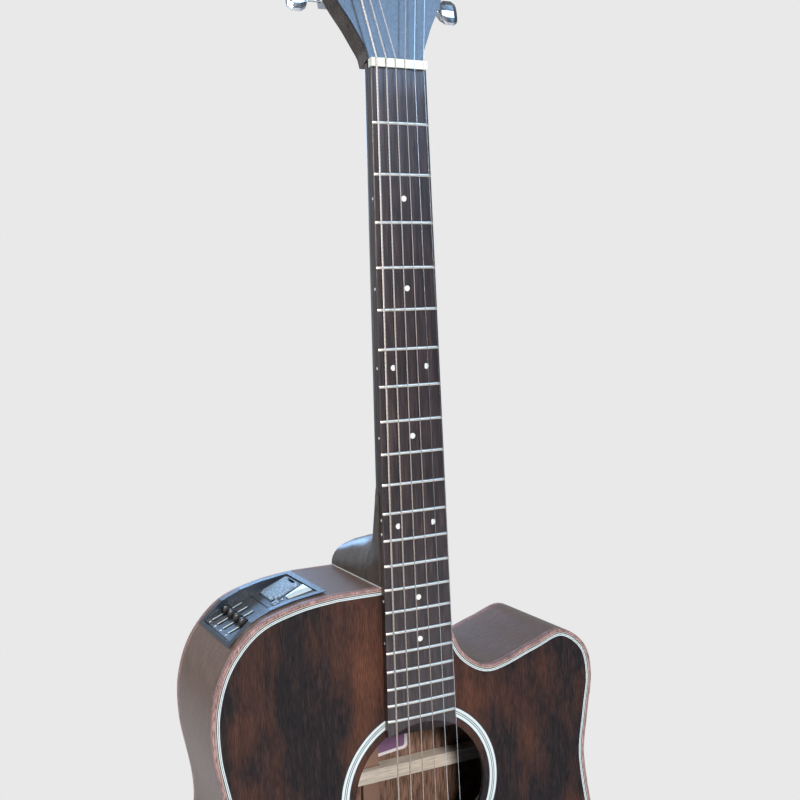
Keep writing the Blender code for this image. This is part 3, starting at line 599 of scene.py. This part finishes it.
def bare_wood(name):
    """Unfinished spruce: pale and dull, with hardly any pores."""
    return wood(
        name,
        ((0.3, "#bdb4a8"), (0.5, "#c9c0b4"), (0.7, "#d3cbbf")),
        pore_mm=1.0,
        figure_mm=6.0,
        stretch=20.0,
        roughness=0.62,
        bump=0.2,
        axis="X",
        pore="#dcdcdc",
    )


BRACES = bare_wood("bare_spruce")
dress(BRACES, "neck_block", "tail_block", "top_lining", "back_lining", "top_bracing", "bridge_plate")
BACK_BRACES = bare_wood("bare_spruce_on_brown_strip")
strip_tree = BACK_BRACES.node_tree
strip_colour = strip_tree.nodes["Principled BSDF"].inputs["Base Color"]
strip_place = add(strip_tree, "ShaderNodeTexCoord").outputs["Object"]
strip_x, strip_y, strip_z = add(strip_tree, "ShaderNodeSeparateXYZ", {"Vector": strip_place}).outputs
strip_slope = add(strip_tree, "ShaderNodeMath", {0: strip_z, 1: BACK_SLOPE}, operation="MULTIPLY").outputs[0]
strip_depth = add(strip_tree, "ShaderNodeMath", {0: strip_y, 1: strip_slope}, operation="ADD").outputs[0]
strip_floor = {0: strip_depth, 1: (BACK_AT_SHOULDER + BODY_TOP_Z * BACK_SLOPE - STRIP_TOP) * MM}
strip_low = add(strip_tree, "ShaderNodeMath", strip_floor, operation="GREATER_THAN").outputs[0]
strip_off = add(strip_tree, "ShaderNodeMath", {0: strip_x}, operation="ABSOLUTE").outputs[0]
strip_edge = {0: strip_off, 1: STRIP_HALF * MM}
strip_near = add(strip_tree, "ShaderNodeMath", strip_edge, operation="LESS_THAN").outputs[0]
strip_both = {0: strip_low, 1: strip_near}
strip_share = add(strip_tree, "ShaderNodeMath", strip_both, operation="MULTIPLY").outputs[0]
strip_layers = {0: strip_share, 6: strip_colour.links[0].from_socket, 7: linear("#836759")}
strip_mix = add(strip_tree, "ShaderNodeMix", strip_layers, data_type="RGBA", blend_type="MIX").outputs[2]
strip_tree.links.new(strip_mix, strip_colour)
dress(BACK_BRACES, "back_bracing")

# Label: a plain blank paper sheet with a pale border, pasted over the back's centre strip, from
# which it droops to the back on both sides.
LABEL_Z, LABEL_HALF, LABEL_BORDER = -502.0, (37.4, 25.0), 2.8
PAPER_THICK, STRIP_LIFT, DROOP_END, DROOP_LONG = 0.15, 4.6, 30, 22


def label_sheet(half_wide, half_tall, corner, lift):
    """Rounded sheet that follows the strip and the back."""
    loop = []
    for quarter, (sx, sz) in enumerate(((1, 1), (-1, 1), (-1, -1), (1, -1))):
        for i in range(7):
            angle = math.pi / 2 * (quarter + i / 6)
            x = sx * (half_wide - corner) + corner * math.cos(angle)
            loop.append((x, LABEL_Z + sz * (half_tall - corner) + corner * math.sin(angle)))
    inner = back_at(BACK_THICK)

    def face(extra):
        def sheet_y(x, z):
            over_strip = max(0.0, min(1.0, (DROOP_END - abs(x)) / DROOP_LONG))
            return inner(x, z) - extra - STRIP_LIFT * over_strip

        return sheet_y

    bends = [((x, 0, 0), (1, 0, 0)) for x in range(-34, 35, 2)]
    return prism([loop], face(lift + PAPER_THICK), face(lift), bends)


# Uncoated paper: matt, with the faint unevenness of its fibres.
LABEL = surface("plain_paper_label", "#7b5a7e", 0.7)
LABEL_EDGE = surface("white_paper_edge", "#d8d4d8", 0.7)
field_half = [half - LABEL_BORDER for half in LABEL_HALF]
piece("label_border", label_sheet(*LABEL_HALF, 4.0, 0.1), LABEL_EDGE)
piece("label_field", label_sheet(*field_half, 2.6, 0.3), LABEL)

# Neck: one piece of dark wood, carved to a rounded shaft that flows into a deep heel, with a tilted
# headstock, then sanded smooth under a thin satin finish. The heel is glued to the body's wall.
SCALE_LENGTH = 650.0
NUT_WIDE, TWELFTH_WIDE = 42.2, 51.7
SHAFT_FRONT, SHAFT_EDGE = 6.5, 1.2
SHAFT_DEEP, SHAFT_GROWTH, SHAFT_ROUND = 21.5, 2.1, 0.85
HEEL_WALL, HEEL_DEEP, HEEL_HALF, HEEL_ROUND = BODY_TOP_Z + 0.3, 96.4, 27.0, 0.9
HEEL_FLARE_TOP, HEEL_FLARE_LONG = 75, 50
HEEL_BELLY, BELLY_FROM, BELLY_LONG = 2.0, 26, 70
# Each pair is a depth and how far up the neck the heel stands there.
HEEL_PROFILE = (
    (6.5, 92.0),
    (18.5, 86.0),
    (23.0, 66.0),
    (26.0, 50.0),
    (34.0, 37.5),
    (50.0, 30.0),
    (75.0, 24.5),
    (96.0, 18.5),
)
HEEL_TOE = HEEL_PROFILE[-1][1]
HEAD_TILT, HEAD_START = 13.0, (0, TOP_Y - 1.5, 7.0)
HEAD_LONG, HEAD_HALF, HEAD_THICK = 188.0, 43.0, 14.5
POST_HOLE_R = 3.4
POSTS = [(side * u, v) for side in (-1, 1) for u, v in ((31.0, 58.0), (30.5, 98.0), (30.0, 138.0))]


def board_half(z):
    """Half the fretboard's width at a height."""
    return (NUT_WIDE + (TWELFTH_WIDE - NUT_WIDE) * (-z) / (SCALE_LENGTH / 2)) / 2


def heel_reach(y):
    """How far up the neck the heel stands at a depth."""
    for (low_y, low_tip), (high_y, high_tip) in zip(HEEL_PROFILE, HEEL_PROFILE[1:]):
        if y <= high_y:
            share = (y - low_y) / (high_y - low_y)
            return low_tip + (high_tip - low_tip) * share
    return HEEL_TOE


def neck_half_at(y, z):
    """Half-width of the neck at a depth and a height: the shaft, or the heel where that is wider."""
    half = board_half(z)
    deep = SHAFT_DEEP + SHAFT_GROWTH * (z / BODY_TOP_Z) - SHAFT_FRONT - SHAFT_EDGE
    rise = max(0.0, (y - SHAFT_FRONT - SHAFT_EDGE) / deep)
    shaft = half * math.sqrt(max(0.0, 1 - min(1.0, rise ** (1 / SHAFT_ROUND)) ** 2))
    lift = z - HEEL_WALL
    reach = heel_reach(y)
    heel = 0.0
    if lift < reach:
        heel = HEEL_HALF * math.sqrt(max(0.0, 1 - (max(0.0, lift) / reach) ** (2 / HEEL_ROUND)))
        flare = min(1.0, max(0.0, (HEEL_FLARE_TOP - lift) / HEEL_FLARE_LONG))
        belly = HEEL_BELLY * max(0.0, y - BELLY_FROM) / BELLY_LONG
        heel = min(heel, half + (HEEL_HALF - half) * flare + belly)
    top, low = max(shaft, heel), min(shaft, heel)
    if low <= 0:
        return top
    return (top**6 + low**6) ** (1 / 6) if top - low < 6 else top


def neck_ring(z):
    """Outline of the neck's section at a height."""
    end = HEEL_DEEP
    if z - HEEL_WALL > HEEL_TOE:
        depths = [SHAFT_FRONT + i * 0.05 for i in range(1, 1800)]
        end = next((y for y in depths if neck_half_at(y, z) <= 0), HEEL_DEEP)
    side = []
    for i in range(41):
        y = SHAFT_FRONT + (end - SHAFT_FRONT) * math.sin(math.pi / 2 * i / 40)
        side.append((min(neck_half_at(y, z), HEEL_HALF), y, z))
    side += [(side[-1][0] * (1 - i / 6), end, z) for i in range(1, 7)]
    return side + [(-x, y, z) for x, y, z in reversed(side[:-1])]


head_edge = [
    (21.1, -1.0),
    (22.0, 6.0),
    (25.3, 13.3),
    (30.8, 25.0),
    (HEAD_HALF - 3.6, 40.5),
    (HEAD_HALF, 51.0),
    (HEAD_HALF - 2.5, 100.0),
    (HEAD_HALF - 3.0, HEAD_LONG - 12.0),
    (HEAD_HALF - 6.0, HEAD_LONG - 4.0),
]
head_side = smooth_line(head_edge, 2.0) + [(HEAD_HALF - 16.0, HEAD_LONG - 0.5), (0.0, HEAD_LONG)]
head_loop = head_side + [(-u, v) for u, v in reversed(head_side[:-1])]
head_frame = Matrix.Translation(HEAD_START) @ Matrix.Rotation(math.pi / 2 - math.radians(HEAD_TILT), 4, "X")


def head_slab(loop, low, high):
    """Plate in the headstock's plane with a round hole at each post."""
    bm = prism([loop, *[circle(POST_HOLE_R, v, 24, u) for u, v in POSTS]], at(0.0), at(1.0))
    for vert in bm.verts:
        u, side, v = vert.co
        vert.co = head_frame @ Vector((u, v, low if side < 0.5 else high))
    return bm


def join(*parts):
    """Closed shapes that stay side by side in one mesh."""
    whole = bmesh.new()
    for part in parts:
        held = bpy.data.meshes.new("held")
        part.to_mesh(held)
        part.free()
        whole.from_mesh(held)
        bpy.data.meshes.remove(held)
    return whole


# Dark hardwood, its pores filled and rubbed smooth: a clear soft highlight along the shaft.
NECK = wood(
    "dark_satin_neck",
    ((0.3, "#352e28"), (0.5, "#453b33"), (0.7, "#54483d")),
    pore_mm=0.7,
    figure_mm=8.0,
    stretch=25.0,
    roughness=0.22,
    bump=0.05,
    specular=0.9,
)
shaft_heights = [4.0, *[-12.0 * i for i in range(22)]]
heel_heights = [*[-254.0 - 3.0 * i for i in range(36)], HEEL_WALL]
piece(
    "carved_neck",
    join(loft([neck_ring(z) for z in shaft_heights + heel_heights]), head_slab(head_loop, -HEAD_THICK, 0.0)),
    NECK,
    replaces=("neck",),
    smooth=40,
)

# Headstock veneer: a thin dark sheet glued to the headstock's face and lacquered to a gloss. It is
# left plain, with a hole for each tuner's post.
VENEER_LOW, VENEER_HIGH, VENEER_INSET = 0.3, 1.9, 0.05
# Lacquered veneer: a mirror-like sheen over fine straight pores. Its dark wood colour is tinted blue as a
# painted reflection of the bluish sky light.
VENEER = wood(
    "dark_headstock_veneer",
    ((0.3, "#1f2530"), (0.5, "#2b323f"), (0.7, "#363e4c")),
    pore_mm=0.6,
    figure_mm=5.0,
    stretch=20.0,
    roughness=0.17,
    bump=0.1,
    specular=1.0,
)
piece(
    "headstock_veneer",
    head_slab(inset(head_loop, VENEER_INSET), VENEER_LOW, VENEER_HIGH),
    VENEER,
    replaces=("headstock_overlay",),
)

# Heel line: a pale strip glued round the foot of the heel, where it meets the body, and scraped
# flush with both.
LINE_LOW, LINE_HIGH, LINE_GROWTH = -0.2, 0.35, 1.012
PALE_LINE = surface("heel_edge_line", "#c8cdd0", 0.4)
heel_foot = [(x * LINE_GROWTH, y) for x, y, z in neck_ring(HEEL_WALL)]
piece(
    "heel_line",
    loft([[(x, y, HEEL_WALL + lift) for x, y in heel_foot] for lift in (LINE_LOW, LINE_HIGH)]),
    PALE_LINE,
)

# Fretboard: dark brown open-grained wood, planed to a cambered face and glued to the neck and the
# top. Its end is cut to the curve of the sound hole.
BOARD_CAMBER_R, BOARD_THICK, BOARD_ROUND = 400.0, 6.2, 0.25
BOARD_OVER_HOLE = 1.0


def crown(x):
    """How far the cambered face drops at a distance from the middle."""
    return x * x / (2 * BOARD_CAMBER_R)


def board_ring(height_at, z):
    """Section of the board, its width taken at z and each point's height from height_at(x)."""
    half = board_half(z)
    across = [half * (1 - i / 16) for i in range(33)]
    face = [(x, crown(x), height_at(x)) for x in across]
    return face + [(x, BOARD_THICK, height_at(x)) for x in (across[-1], across[0])]


def hole_edge(x):
    """Height of the board's end, a little inside the sound hole's rim."""
    return HOLE_Z + math.sqrt((HOLE_R + BOARD_OVER_HOLE) ** 2 - x * x)


# Oiled open-grained wood: dark streaks, open pores and a low polish worn by the strings.
BOARD = wood(
    "dark_brown_fretboard",
    ((0.28, "#1a1415"), (0.46, "#2a2122"), (0.6, "#3a2e2f"), (0.75, "#4d3b38")),
    pore_mm=0.7,
    figure_mm=2.0,
    stretch=22.0,
    roughness=0.3,
    bump=0.5,
    specular=0.7,
)
board_rings = [board_ring(lambda x, z=-20.0 * i: z, -20.0 * i) for i in range(23)]
board_rings.append(board_ring(hole_edge, HOLE_Z + HOLE_R - 2))
piece("board_wood", loft(board_rings), BOARD, replaces=("fretboard",), bevel=BOARD_ROUND)

# Frets: 21 lengths of nickel-silver wire with a rounded crown, pressed into slots across the board
# at twelfth-root spacing. Their ends are filed down to the board's edge.
FRET_COUNT, FRET_HALF, FRET_TALL = 21, 1.15, 1.1
FRET_SEAT, FRET_END_GAP, FRET_END_DROP, FRET_END_SHARE = 0.15, 0.15, 0.5, 0.035


def fret_z(number):
    """Height of a fret below the nut's front edge."""
    return -SCALE_LENGTH * (1 - 2 ** (-number / 12))


def fret(number):
    """One fret wire, along x."""
    z = fret_z(number)
    half = board_half(z) - FRET_END_GAP
    rings = []
    for i in range(25):
        x = half * (1 - i / 12)
        droop = FRET_END_DROP * max(0.0, abs(x) / half - 1 + FRET_END_SHARE) / FRET_END_SHARE
        ring = []
        for angle in [math.pi * j / 8 for j in range(9)]:
            y = crown(x) + FRET_SEAT - (FRET_TALL - droop) * math.sin(angle)
            ring.append((x, y, z + FRET_HALF * math.cos(angle)))
        rings.append(ring)
    return loft(rings)


# Drawn and polished wire: a bright yellowish metal, slightly dulled.
FRET_METAL = surface("nickel_silver_wire", "#e4ddcf", 0.34, metallic=1.0, bump=0.02)
frets = [fret(number) for number in range(1, FRET_COUNT + 1)]
piece("fret_wires", join(*frets), FRET_METAL, smooth=60)

# Position dots: short white plastic rods glued into drilled holes in the board's face and bass
# edge, sanded flush. Two mark the seventh and twelfth places on the face, and two the twelfth's edge.
DOT_R, EDGE_DOT_R, DOT_LONG, DOT_SPREAD, EDGE_DOT_SPREAD, EDGE_DOT_Y = 2.0, 1.0, 0.6, 0.54, 5.0, 3.2
FACE_DOT_SUNK, EDGE_DOT_SUNK = 0.26, 0.25
# Cast plastic: white with a smooth clear shine.
DOT = surface("white_dot", "#cbcdc8", 0.3, coat=0.3)
dots = []
for number in (3, 5, 7, 9, 12, 15, 17):
    z = (fret_z(number) + fret_z(number - 1)) / 2
    off = DOT_SPREAD * board_half(z)
    for x in (-off, off) if number in (7, 12) else (0.0,):
        dots.append(rod(DOT_R, DOT_LONG, (x, crown(x) + FACE_DOT_SUNK, z), (0, -1, 0)))
    for edge_z in (z + EDGE_DOT_SPREAD, z - EDGE_DOT_SPREAD) if number == 12 else (z,):
        edge_x = -board_half(edge_z) + EDGE_DOT_SUNK
        dots.append(rod(EDGE_DOT_R, DOT_LONG, (edge_x, EDGE_DOT_Y, edge_z), (-1, 0, 0)))
piece("position_dots", join(*dots), DOT)

# Nut, saddle and bridge pins: a hard white bone-like material, sawn or turned, then filed and
# polished. The nut and saddle sit in slots and the pins in tapered holes.
# Polished bone: greenish white, smooth, with a thin clear shine.
BONE = surface("polished_white_bone", "#c6cbc0", 0.28, bump=0.05, coat=0.2)
dress(BONE, "nut", "saddle", *[f"bridge_pin_{i}" for i in range(1, 7)])

# Bridge: one block of the fretboard's wood, its grain across the body, glued to the top, with its
# wings sanded thin.
# Oiled open-grained wood, duller than the board because nothing rubs it.
BRIDGE_WOOD = wood(
    "dark_brown_bridge",
    ((0.28, "#1d1614"), (0.46, "#2e2422"), (0.6, "#3f302c"), (0.75, "#513f38")),
    pore_mm=0.7,
    figure_mm=2.6,
    stretch=40.0,
    roughness=0.42,
    bump=0.35,
    axis="X",
)
dress(BRIDGE_WOOD, "bridge")

# Strings: steel wires held by the bridge pins and the tuners. The lower four are wound with bronze
# wire, drawn a little coarse so that its turns show, and the upper two are plain.
WINDING_MM = 0.9
# Wound bronze: its colour is painted bright on the turns' crests as a painted highlight and dark in the lines
# between the turns as painted shade.
BRONZE, winding_tree, winding_shader = new_material("bronze_winding")
winding_place = add(winding_tree, "ShaderNodeTexCoord").outputs["Object"]
winding_waves = {"Vector": winding_place, "Scale": math.tau / 20 / (WINDING_MM * MM)}
turns = add(winding_tree, "ShaderNodeTexWave", winding_waves, bands_direction="Z").outputs["Fac"]
# Painted shade between the turns, painted highlight on their crests.
crest_highlight_gap_shade_stops = ((0.1, "#75655c"), (0.7, "#d9c9bb"))
painted_turn_light = add(winding_tree, "ShaderNodeValToRGB", {"Fac": turns}, crest_highlight_gap_shade_stops).outputs["Color"]
winding_tree.links.new(painted_turn_light, winding_shader.inputs["Base Color"])
turn_relief = add(winding_tree, "ShaderNodeBump", {"Height": turns, "Strength": 0.6, "Distance": 0.1 * MM})
winding_tree.links.new(turn_relief.outputs["Normal"], winding_shader.inputs["Normal"])
winding_shader.inputs["Metallic"].default_value = 0.85
winding_shader.inputs["Roughness"].default_value = 0.36
# Bright drawn steel.
STEEL = surface("plain_steel", "#d5d6d8", 0.22, metallic=1.0)
dress(BRONZE, *[f"string_{i}" for i in range(1, 5)])
dress(STEEL, "string_5", "string_6")

# Tuning machines and metal fittings: die-cast cases screwed to the headstock, knobs on worm shafts
# and geared posts, the output jack, the truss rod and the pickup under the saddle.
# Plated castings: a bright neutral metal with soft reflections.
PLATED = surface("plated_tuner_metal", "#c9ccce", 0.2, metallic=1.0, bump=0.03)
dress(PLATED, *[f"tuner_{kind}_{i}" for kind in ("knob", "post", "housing") for i in range(1, 7)])
dress(PLATED, "output_jack", "truss_rod", "under_saddle_pickup")

# Preamp housing: a moulded black plastic box let into the bass shoulder, its glossy bezel curved to
# the body and its panel flat. It holds the battery, under a door, and a push button.
PANEL_LIFT = 1.5
PANEL_FACE = PANEL_LIFT + 0.02
GROOVE_TALL = 0.1
# Moulded plastic with a coarse grain that breaks up its shine. Its black is tinted blue as a painted
# reflection of the bluish sky light, and lightened on the grain's crests as a painted highlight.
HOUSING = surface("moulded_black_bezel", "#1b2530", 0.3, grit_mm=1.3, bump=0.9, coat=0.2, painted_crest_highlight=0.5)
dress(HOUSING, "preamp_housing")
# Smooth black plastic.
KNOB = surface("moulded_black_knob", "#0d0e10", 0.3)
dress(KNOB, "battery")
# Grey plastic with a leathery texture, pale where its crests catch the light.
DOOR = surface("textured_grey_door", "#7d93a8", 0.45, grit_mm=1.4, bump=0.9, vary=0.15, painted_crest_highlight=0.45)
dress(DOOR, "phase_button")

# Sliders: four small black plastic knobs, waisted where they pass the panel, on stems that run in
# slots. Beside each slot a pale bar is painted as the highlight on the slot's edge, and a dot sits at its low
# end.
SLIDER_YS, SLIDER_AT, SLIDER_ROUND = (40.0, 53.2, 66.4, 79.6), 23.0, 0.35
DOT_TALL, BAR_TALL = 0.25, 0.15
# Each level is its lift above the panel, and its half-length and half-width.
KNOB_LEVELS = (
    (-3.0, 1.0, 0.9),
    (0.6, 1.0, 0.9),
    (0.9, 4.2, 2.3),
    (3.0, 3.4, 2.1),
    (4.6, 2.0, 1.9),
    (5.6, 0.9, 1.7),
)


def panel_plate(corners, low, high):
    """Plate on the panel from (along, y) corners, between two lifts."""
    rings = []
    for lift in (low, high):
        ring = []
        for along, y in corners:
            x, z = on_panel(along, lift)
            ring.append((x, y, z))
        rings.append(ring)
    return loft(rings)


def slider_knob(y):
    """Knob centred on its slot at a depth."""
    rings = []
    for lift, long, wide in KNOB_LEVELS:
        ring = []
        for a, w in ((-long, -wide), (long, -wide), (long, wide), (-long, wide)):
            x, z = on_panel(SLIDER_AT + a, PANEL_LIFT + lift)
            ring.append((x, y + w, z))
        rings.append(ring)
    return loft(rings)


for number, y in enumerate(SLIDER_YS, 1):
    piece(
        f"slider_knob_{number}",
        slider_knob(y),
        KNOB,
        body=f"eq_slider_{number}",
        replaces=(f"eq_slider_{number}",),
        bevel=SLIDER_ROUND,
    )
dots_and_painted_slot_highlights = []
for y in SLIDER_YS:
    dots_and_painted_slot_highlights.append(panel_box((7.4, 9.2), (PANEL_FACE, PANEL_FACE + DOT_TALL), (y + 0.2, y + 2.0)))
    # The pale bar is a painted highlight on the slot's edge.
    dots_and_painted_slot_highlights.append(panel_box((10.5, 35.5), (PANEL_FACE, PANEL_FACE + BAR_TALL), (y + 1.5, y + 3.1)))
piece("panel_marks", join(*dots_and_painted_slot_highlights), WHITE)

# Panel details: a small lamp, three moulded grooves that divide the panel, and a clear window that
# widens away from the button, pressed into the panel.
LAMP_TALL, LAMP_ROUND, WINDOW_TALL, WINDOW_ROUND = 0.5, 0.2, 1.1, 0.3
lamp_lift = (PANEL_FACE, PANEL_FACE + LAMP_TALL)
lamp_block = panel_box((55.4, 57.0), lamp_lift, (44.4, 46.0))
piece("panel_lamp", lamp_block, WHITE, bevel=LAMP_ROUND)
# Unlit recesses: nearly black and dull.
DARK = surface("panel_groove", "#07080a", 0.6)
groove_limits = (((43.6, 44.6), (45.0, 84.0)), ((5.6, 6.4), (24.0, 84.0)), ((76.2, 77.0), (24.0, 84.0)))
grooves = [panel_box(along, (PANEL_FACE, PANEL_FACE + GROOVE_TALL), deep) for along, deep in groove_limits]
piece("panel_grooves", join(*grooves), DARK)
# Clear polished plastic over a pale backing: glassy and light.
WINDOW = surface("clear_window", "#b9c9cf", 0.12, coat=0.6)
window_corners = [(59.2, 45.6), (59.2, 39.6), (75.6, 31.0), (75.6, 48.4)]
window_plate = panel_plate(window_corners, PANEL_FACE, PANEL_FACE + WINDOW_TALL)
piece("panel_window", window_plate, WINDOW, bevel=WINDOW_ROUND)

# Battery door: a textured grey plastic plate with two hinge ears at its upper end and a notched
# thumb lip at its lower end. It turns on pins moulded in the housing.
DOOR_LIP, DOOR_LOW, DOOR_EARS, DOOR_HIGH = 50.2, 53.2, 71.5, 73.8
DOOR_SUNK, DOOR_PROUD, DOOR_ROUND = 1.0, 1.85, 0.35
door_corners = [
    (DOOR_LIP, 56.5),
    (DOOR_LOW, 56.5),
    (DOOR_LOW, 52.7),
    (DOOR_HIGH, 52.7),
    (DOOR_HIGH, 58.0),
    (DOOR_EARS, 58.0),
    (DOOR_EARS, 75.0),
    (DOOR_HIGH, 75.0),
    (DOOR_HIGH, 78.8),
    (DOOR_LOW, 78.8),
    (DOOR_LOW, 76.0),
    (DOOR_LIP, 76.0),
]
piece(
    "door_plate",
    panel_plate(door_corners, PANEL_LIFT - DOOR_SUNK, PANEL_LIFT + DOOR_PROUD),
    DOOR,
    body="battery_door",
    replaces=("battery_door",),
    bevel=DOOR_ROUND,
)

# Studio floor: a plain pale matt sheet just under the guitar, which takes its shadow and fades to
# the backdrop's colour, for the camera only, within a step of it. Sizes are in metres from here.
BACKDROP = "#e9e9e9"
FLOOR_DROP, FLOOR_HALF, FADE_START, FADE_END = 0.02, 12, 0.42, 0.7
floor_mesh = bmesh.new()
bmesh.ops.create_grid(floor_mesh, x_segments=1, y_segments=1, size=FLOOR_HALF)
floor_data = bpy.data.meshes.new("studio_floor")
floor_mesh.to_mesh(floor_data)
floor_mesh.free()
floor = bpy.data.objects.new("studio_floor", floor_data)
floor.location = (0, 0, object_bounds()[0][2] - FLOOR_DROP)
bpy.context.scene.collection.objects.link(floor)
floor_finish, floor_tree, floor_shader = new_material("pale_studio_floor")
floor_shader.inputs["Base Color"].default_value = linear("#e4e4e4")
floor_shader.inputs["Roughness"].default_value = 0.9
floor_place = add(floor_tree, "ShaderNodeTexCoord").outputs["Object"]
floor_far = add(floor_tree, "ShaderNodeVectorMath", {0: floor_place}, operation="LENGTH").outputs["Value"]
fade_limits = {"Value": floor_far, "From Min": FADE_START, "From Max": FADE_END}
floor_fade = add(floor_tree, "ShaderNodeMapRange", fade_limits, interpolation_type="SMOOTHSTEP")
floor_seen = add(floor_tree, "ShaderNodeLightPath").outputs["Is Camera Ray"]
floor_both = {0: floor_fade.outputs["Result"], 1: floor_seen}
floor_share = add(floor_tree, "ShaderNodeMath", floor_both, operation="MULTIPLY").outputs[0]
floor_glow = add(floor_tree, "ShaderNodeEmission", {"Color": linear(BACKDROP), "Strength": 1.0})
floor_layers = {0: floor_share, 1: floor_shader.outputs["BSDF"], 2: floor_glow.outputs["Emission"]}
floor_mix = add(floor_tree, "ShaderNodeMixShader", floor_layers).outputs["Shader"]
floor_tree.links.new(floor_mix, floor_tree.nodes["Material Output"].inputs["Surface"])
floor_data.materials.append(floor_finish)

# Studio surroundings: a dim room that is paler behind the guitar, with one small bluish window for
# the sheen on the headstock and bezel. The camera sees the plain backdrop's colour instead.
PANE_TOWARDS, PANE_EDGE, PANE_FULL, PANE_STRENGTH = (0.147, 0.949, 0.275), 0.975, 0.999, 7.0
world = bpy.data.worlds.new("studio_light")
bpy.context.scene.world = world
world.use_nodes = True
world_tree = world.node_tree
background = world_tree.nodes["Background"]
heading = add(world_tree, "ShaderNodeTexCoord").outputs["Generated"]
heading_y = add(world_tree, "ShaderNodeSeparateXYZ", {"Vector": heading}).outputs["Y"]
behind = add(world_tree, "ShaderNodeMapRange", {"Value": heading_y, "From Min": -0.35, "From Max": 0.6})
room_layers = {0: behind.outputs["Result"], 6: linear("#474c53"), 7: linear("#b4bcc6")}
room = add(world_tree, "ShaderNodeMix", room_layers, data_type="RGBA", blend_type="MIX").outputs[2]
facing = add(world_tree, "ShaderNodeVectorMath", {0: heading, 1: PANE_TOWARDS}, operation="DOT_PRODUCT")
pane_limits = {
    "Value": facing.outputs["Value"],
    "From Min": PANE_EDGE,
    "From Max": PANE_FULL,
    "To Max": PANE_STRENGTH,
}
pane = add(world_tree, "ShaderNodeMapRange", pane_limits, interpolation_type="SMOOTHSTEP").outputs["Result"]
pane_light = add(world_tree, "ShaderNodeVectorMath", {0: linear("#8db8ea")[:3], 3: pane}, operation="SCALE")
lit = add(world_tree, "ShaderNodeVectorMath", {0: room, 1: pane_light.outputs[0]}, operation="ADD").outputs[0]
world_seen = add(world_tree, "ShaderNodeLightPath").outputs["Is Camera Ray"]
world_layers = {0: world_seen, 6: lit, 7: linear(BACKDROP)}
world_mix = add(world_tree, "ShaderNodeMix", world_layers, data_type="RGBA", blend_type="MIX").outputs[2]
world_tree.links.new(world_mix, background.inputs["Color"])
background.inputs["Strength"].default_value = 1.0


def lamp(name, place, aim, size, watts, colour):
    """Rectangular soft light, turned to shine at a point."""
    data = bpy.data.lights.new(name, "AREA")
    data.shape = "RECTANGLE"
    data.size, data.size_y = size
    data.energy = watts
    data.color = linear(colour)[:3]
    obj = bpy.data.objects.new(name, data)
    obj.location = place
    obj.rotation_euler = (Vector(aim) - Vector(place)).to_track_quat("-Z", "Y").to_euler()
    bpy.context.scene.collection.objects.link(obj)


lamp("key_light", (-0.45, -1.92, 0.44), (0, 0.03, -0.5), (0.3, 0.3), 58, "#fff8f2")
lamp("sky_window", (0.93, -1.6, 1.02), (0, 0, 0), (1.3, 1.2), 27, "#a6ccf6")
lamp("side_window", (-2.0, 0.5, 0.5), (-0.1, 0.05, -0.45), (1.2, 1.2), 30, "#e6e9ea")

# Camera: the photograph's viewpoint, below the nut and to the bass side, with its upright frame
# shifted to the left and down from the lens's axis. Pixels are in the photograph's 800 x 800 frame.
FRAME_PX, FOCAL_PX, CENTRE_SHIFT_PX = 800.0, 1049.4, (-24.8, 35.1)
SENSOR_MM, NEAREST = 36.0, 0.01
CAMERA_AT = Vector((-334.1, -658.2, -172.7)) * MM
LOOK = Vector((0.41807, 0.902357, -0.104738)).normalized()
UPRIGHT = Vector((0.081001, 0.077809, 0.993672))
camera_data = bpy.data.cameras.new("camera")
camera = bpy.data.objects.new("camera", camera_data)
bpy.context.scene.collection.objects.link(camera)
bpy.context.scene.camera = camera
right = LOOK.cross(UPRIGHT).normalized()
turn = Matrix((right, right.cross(LOOK), -LOOK)).transposed().to_4x4()
camera.matrix_world = Matrix.Translation(CAMERA_AT) @ turn
camera_data.sensor_width = SENSOR_MM
camera_data.lens = SENSOR_MM * FOCAL_PX / FRAME_PX
camera_data.shift_x = -CENTRE_SHIFT_PX[0] / FRAME_PX
camera_data.shift_y = CENTRE_SHIFT_PX[1] / FRAME_PX
camera_data.clip_start = NEAREST
bpy.context.scene.view_settings.view_transform = "Standard"
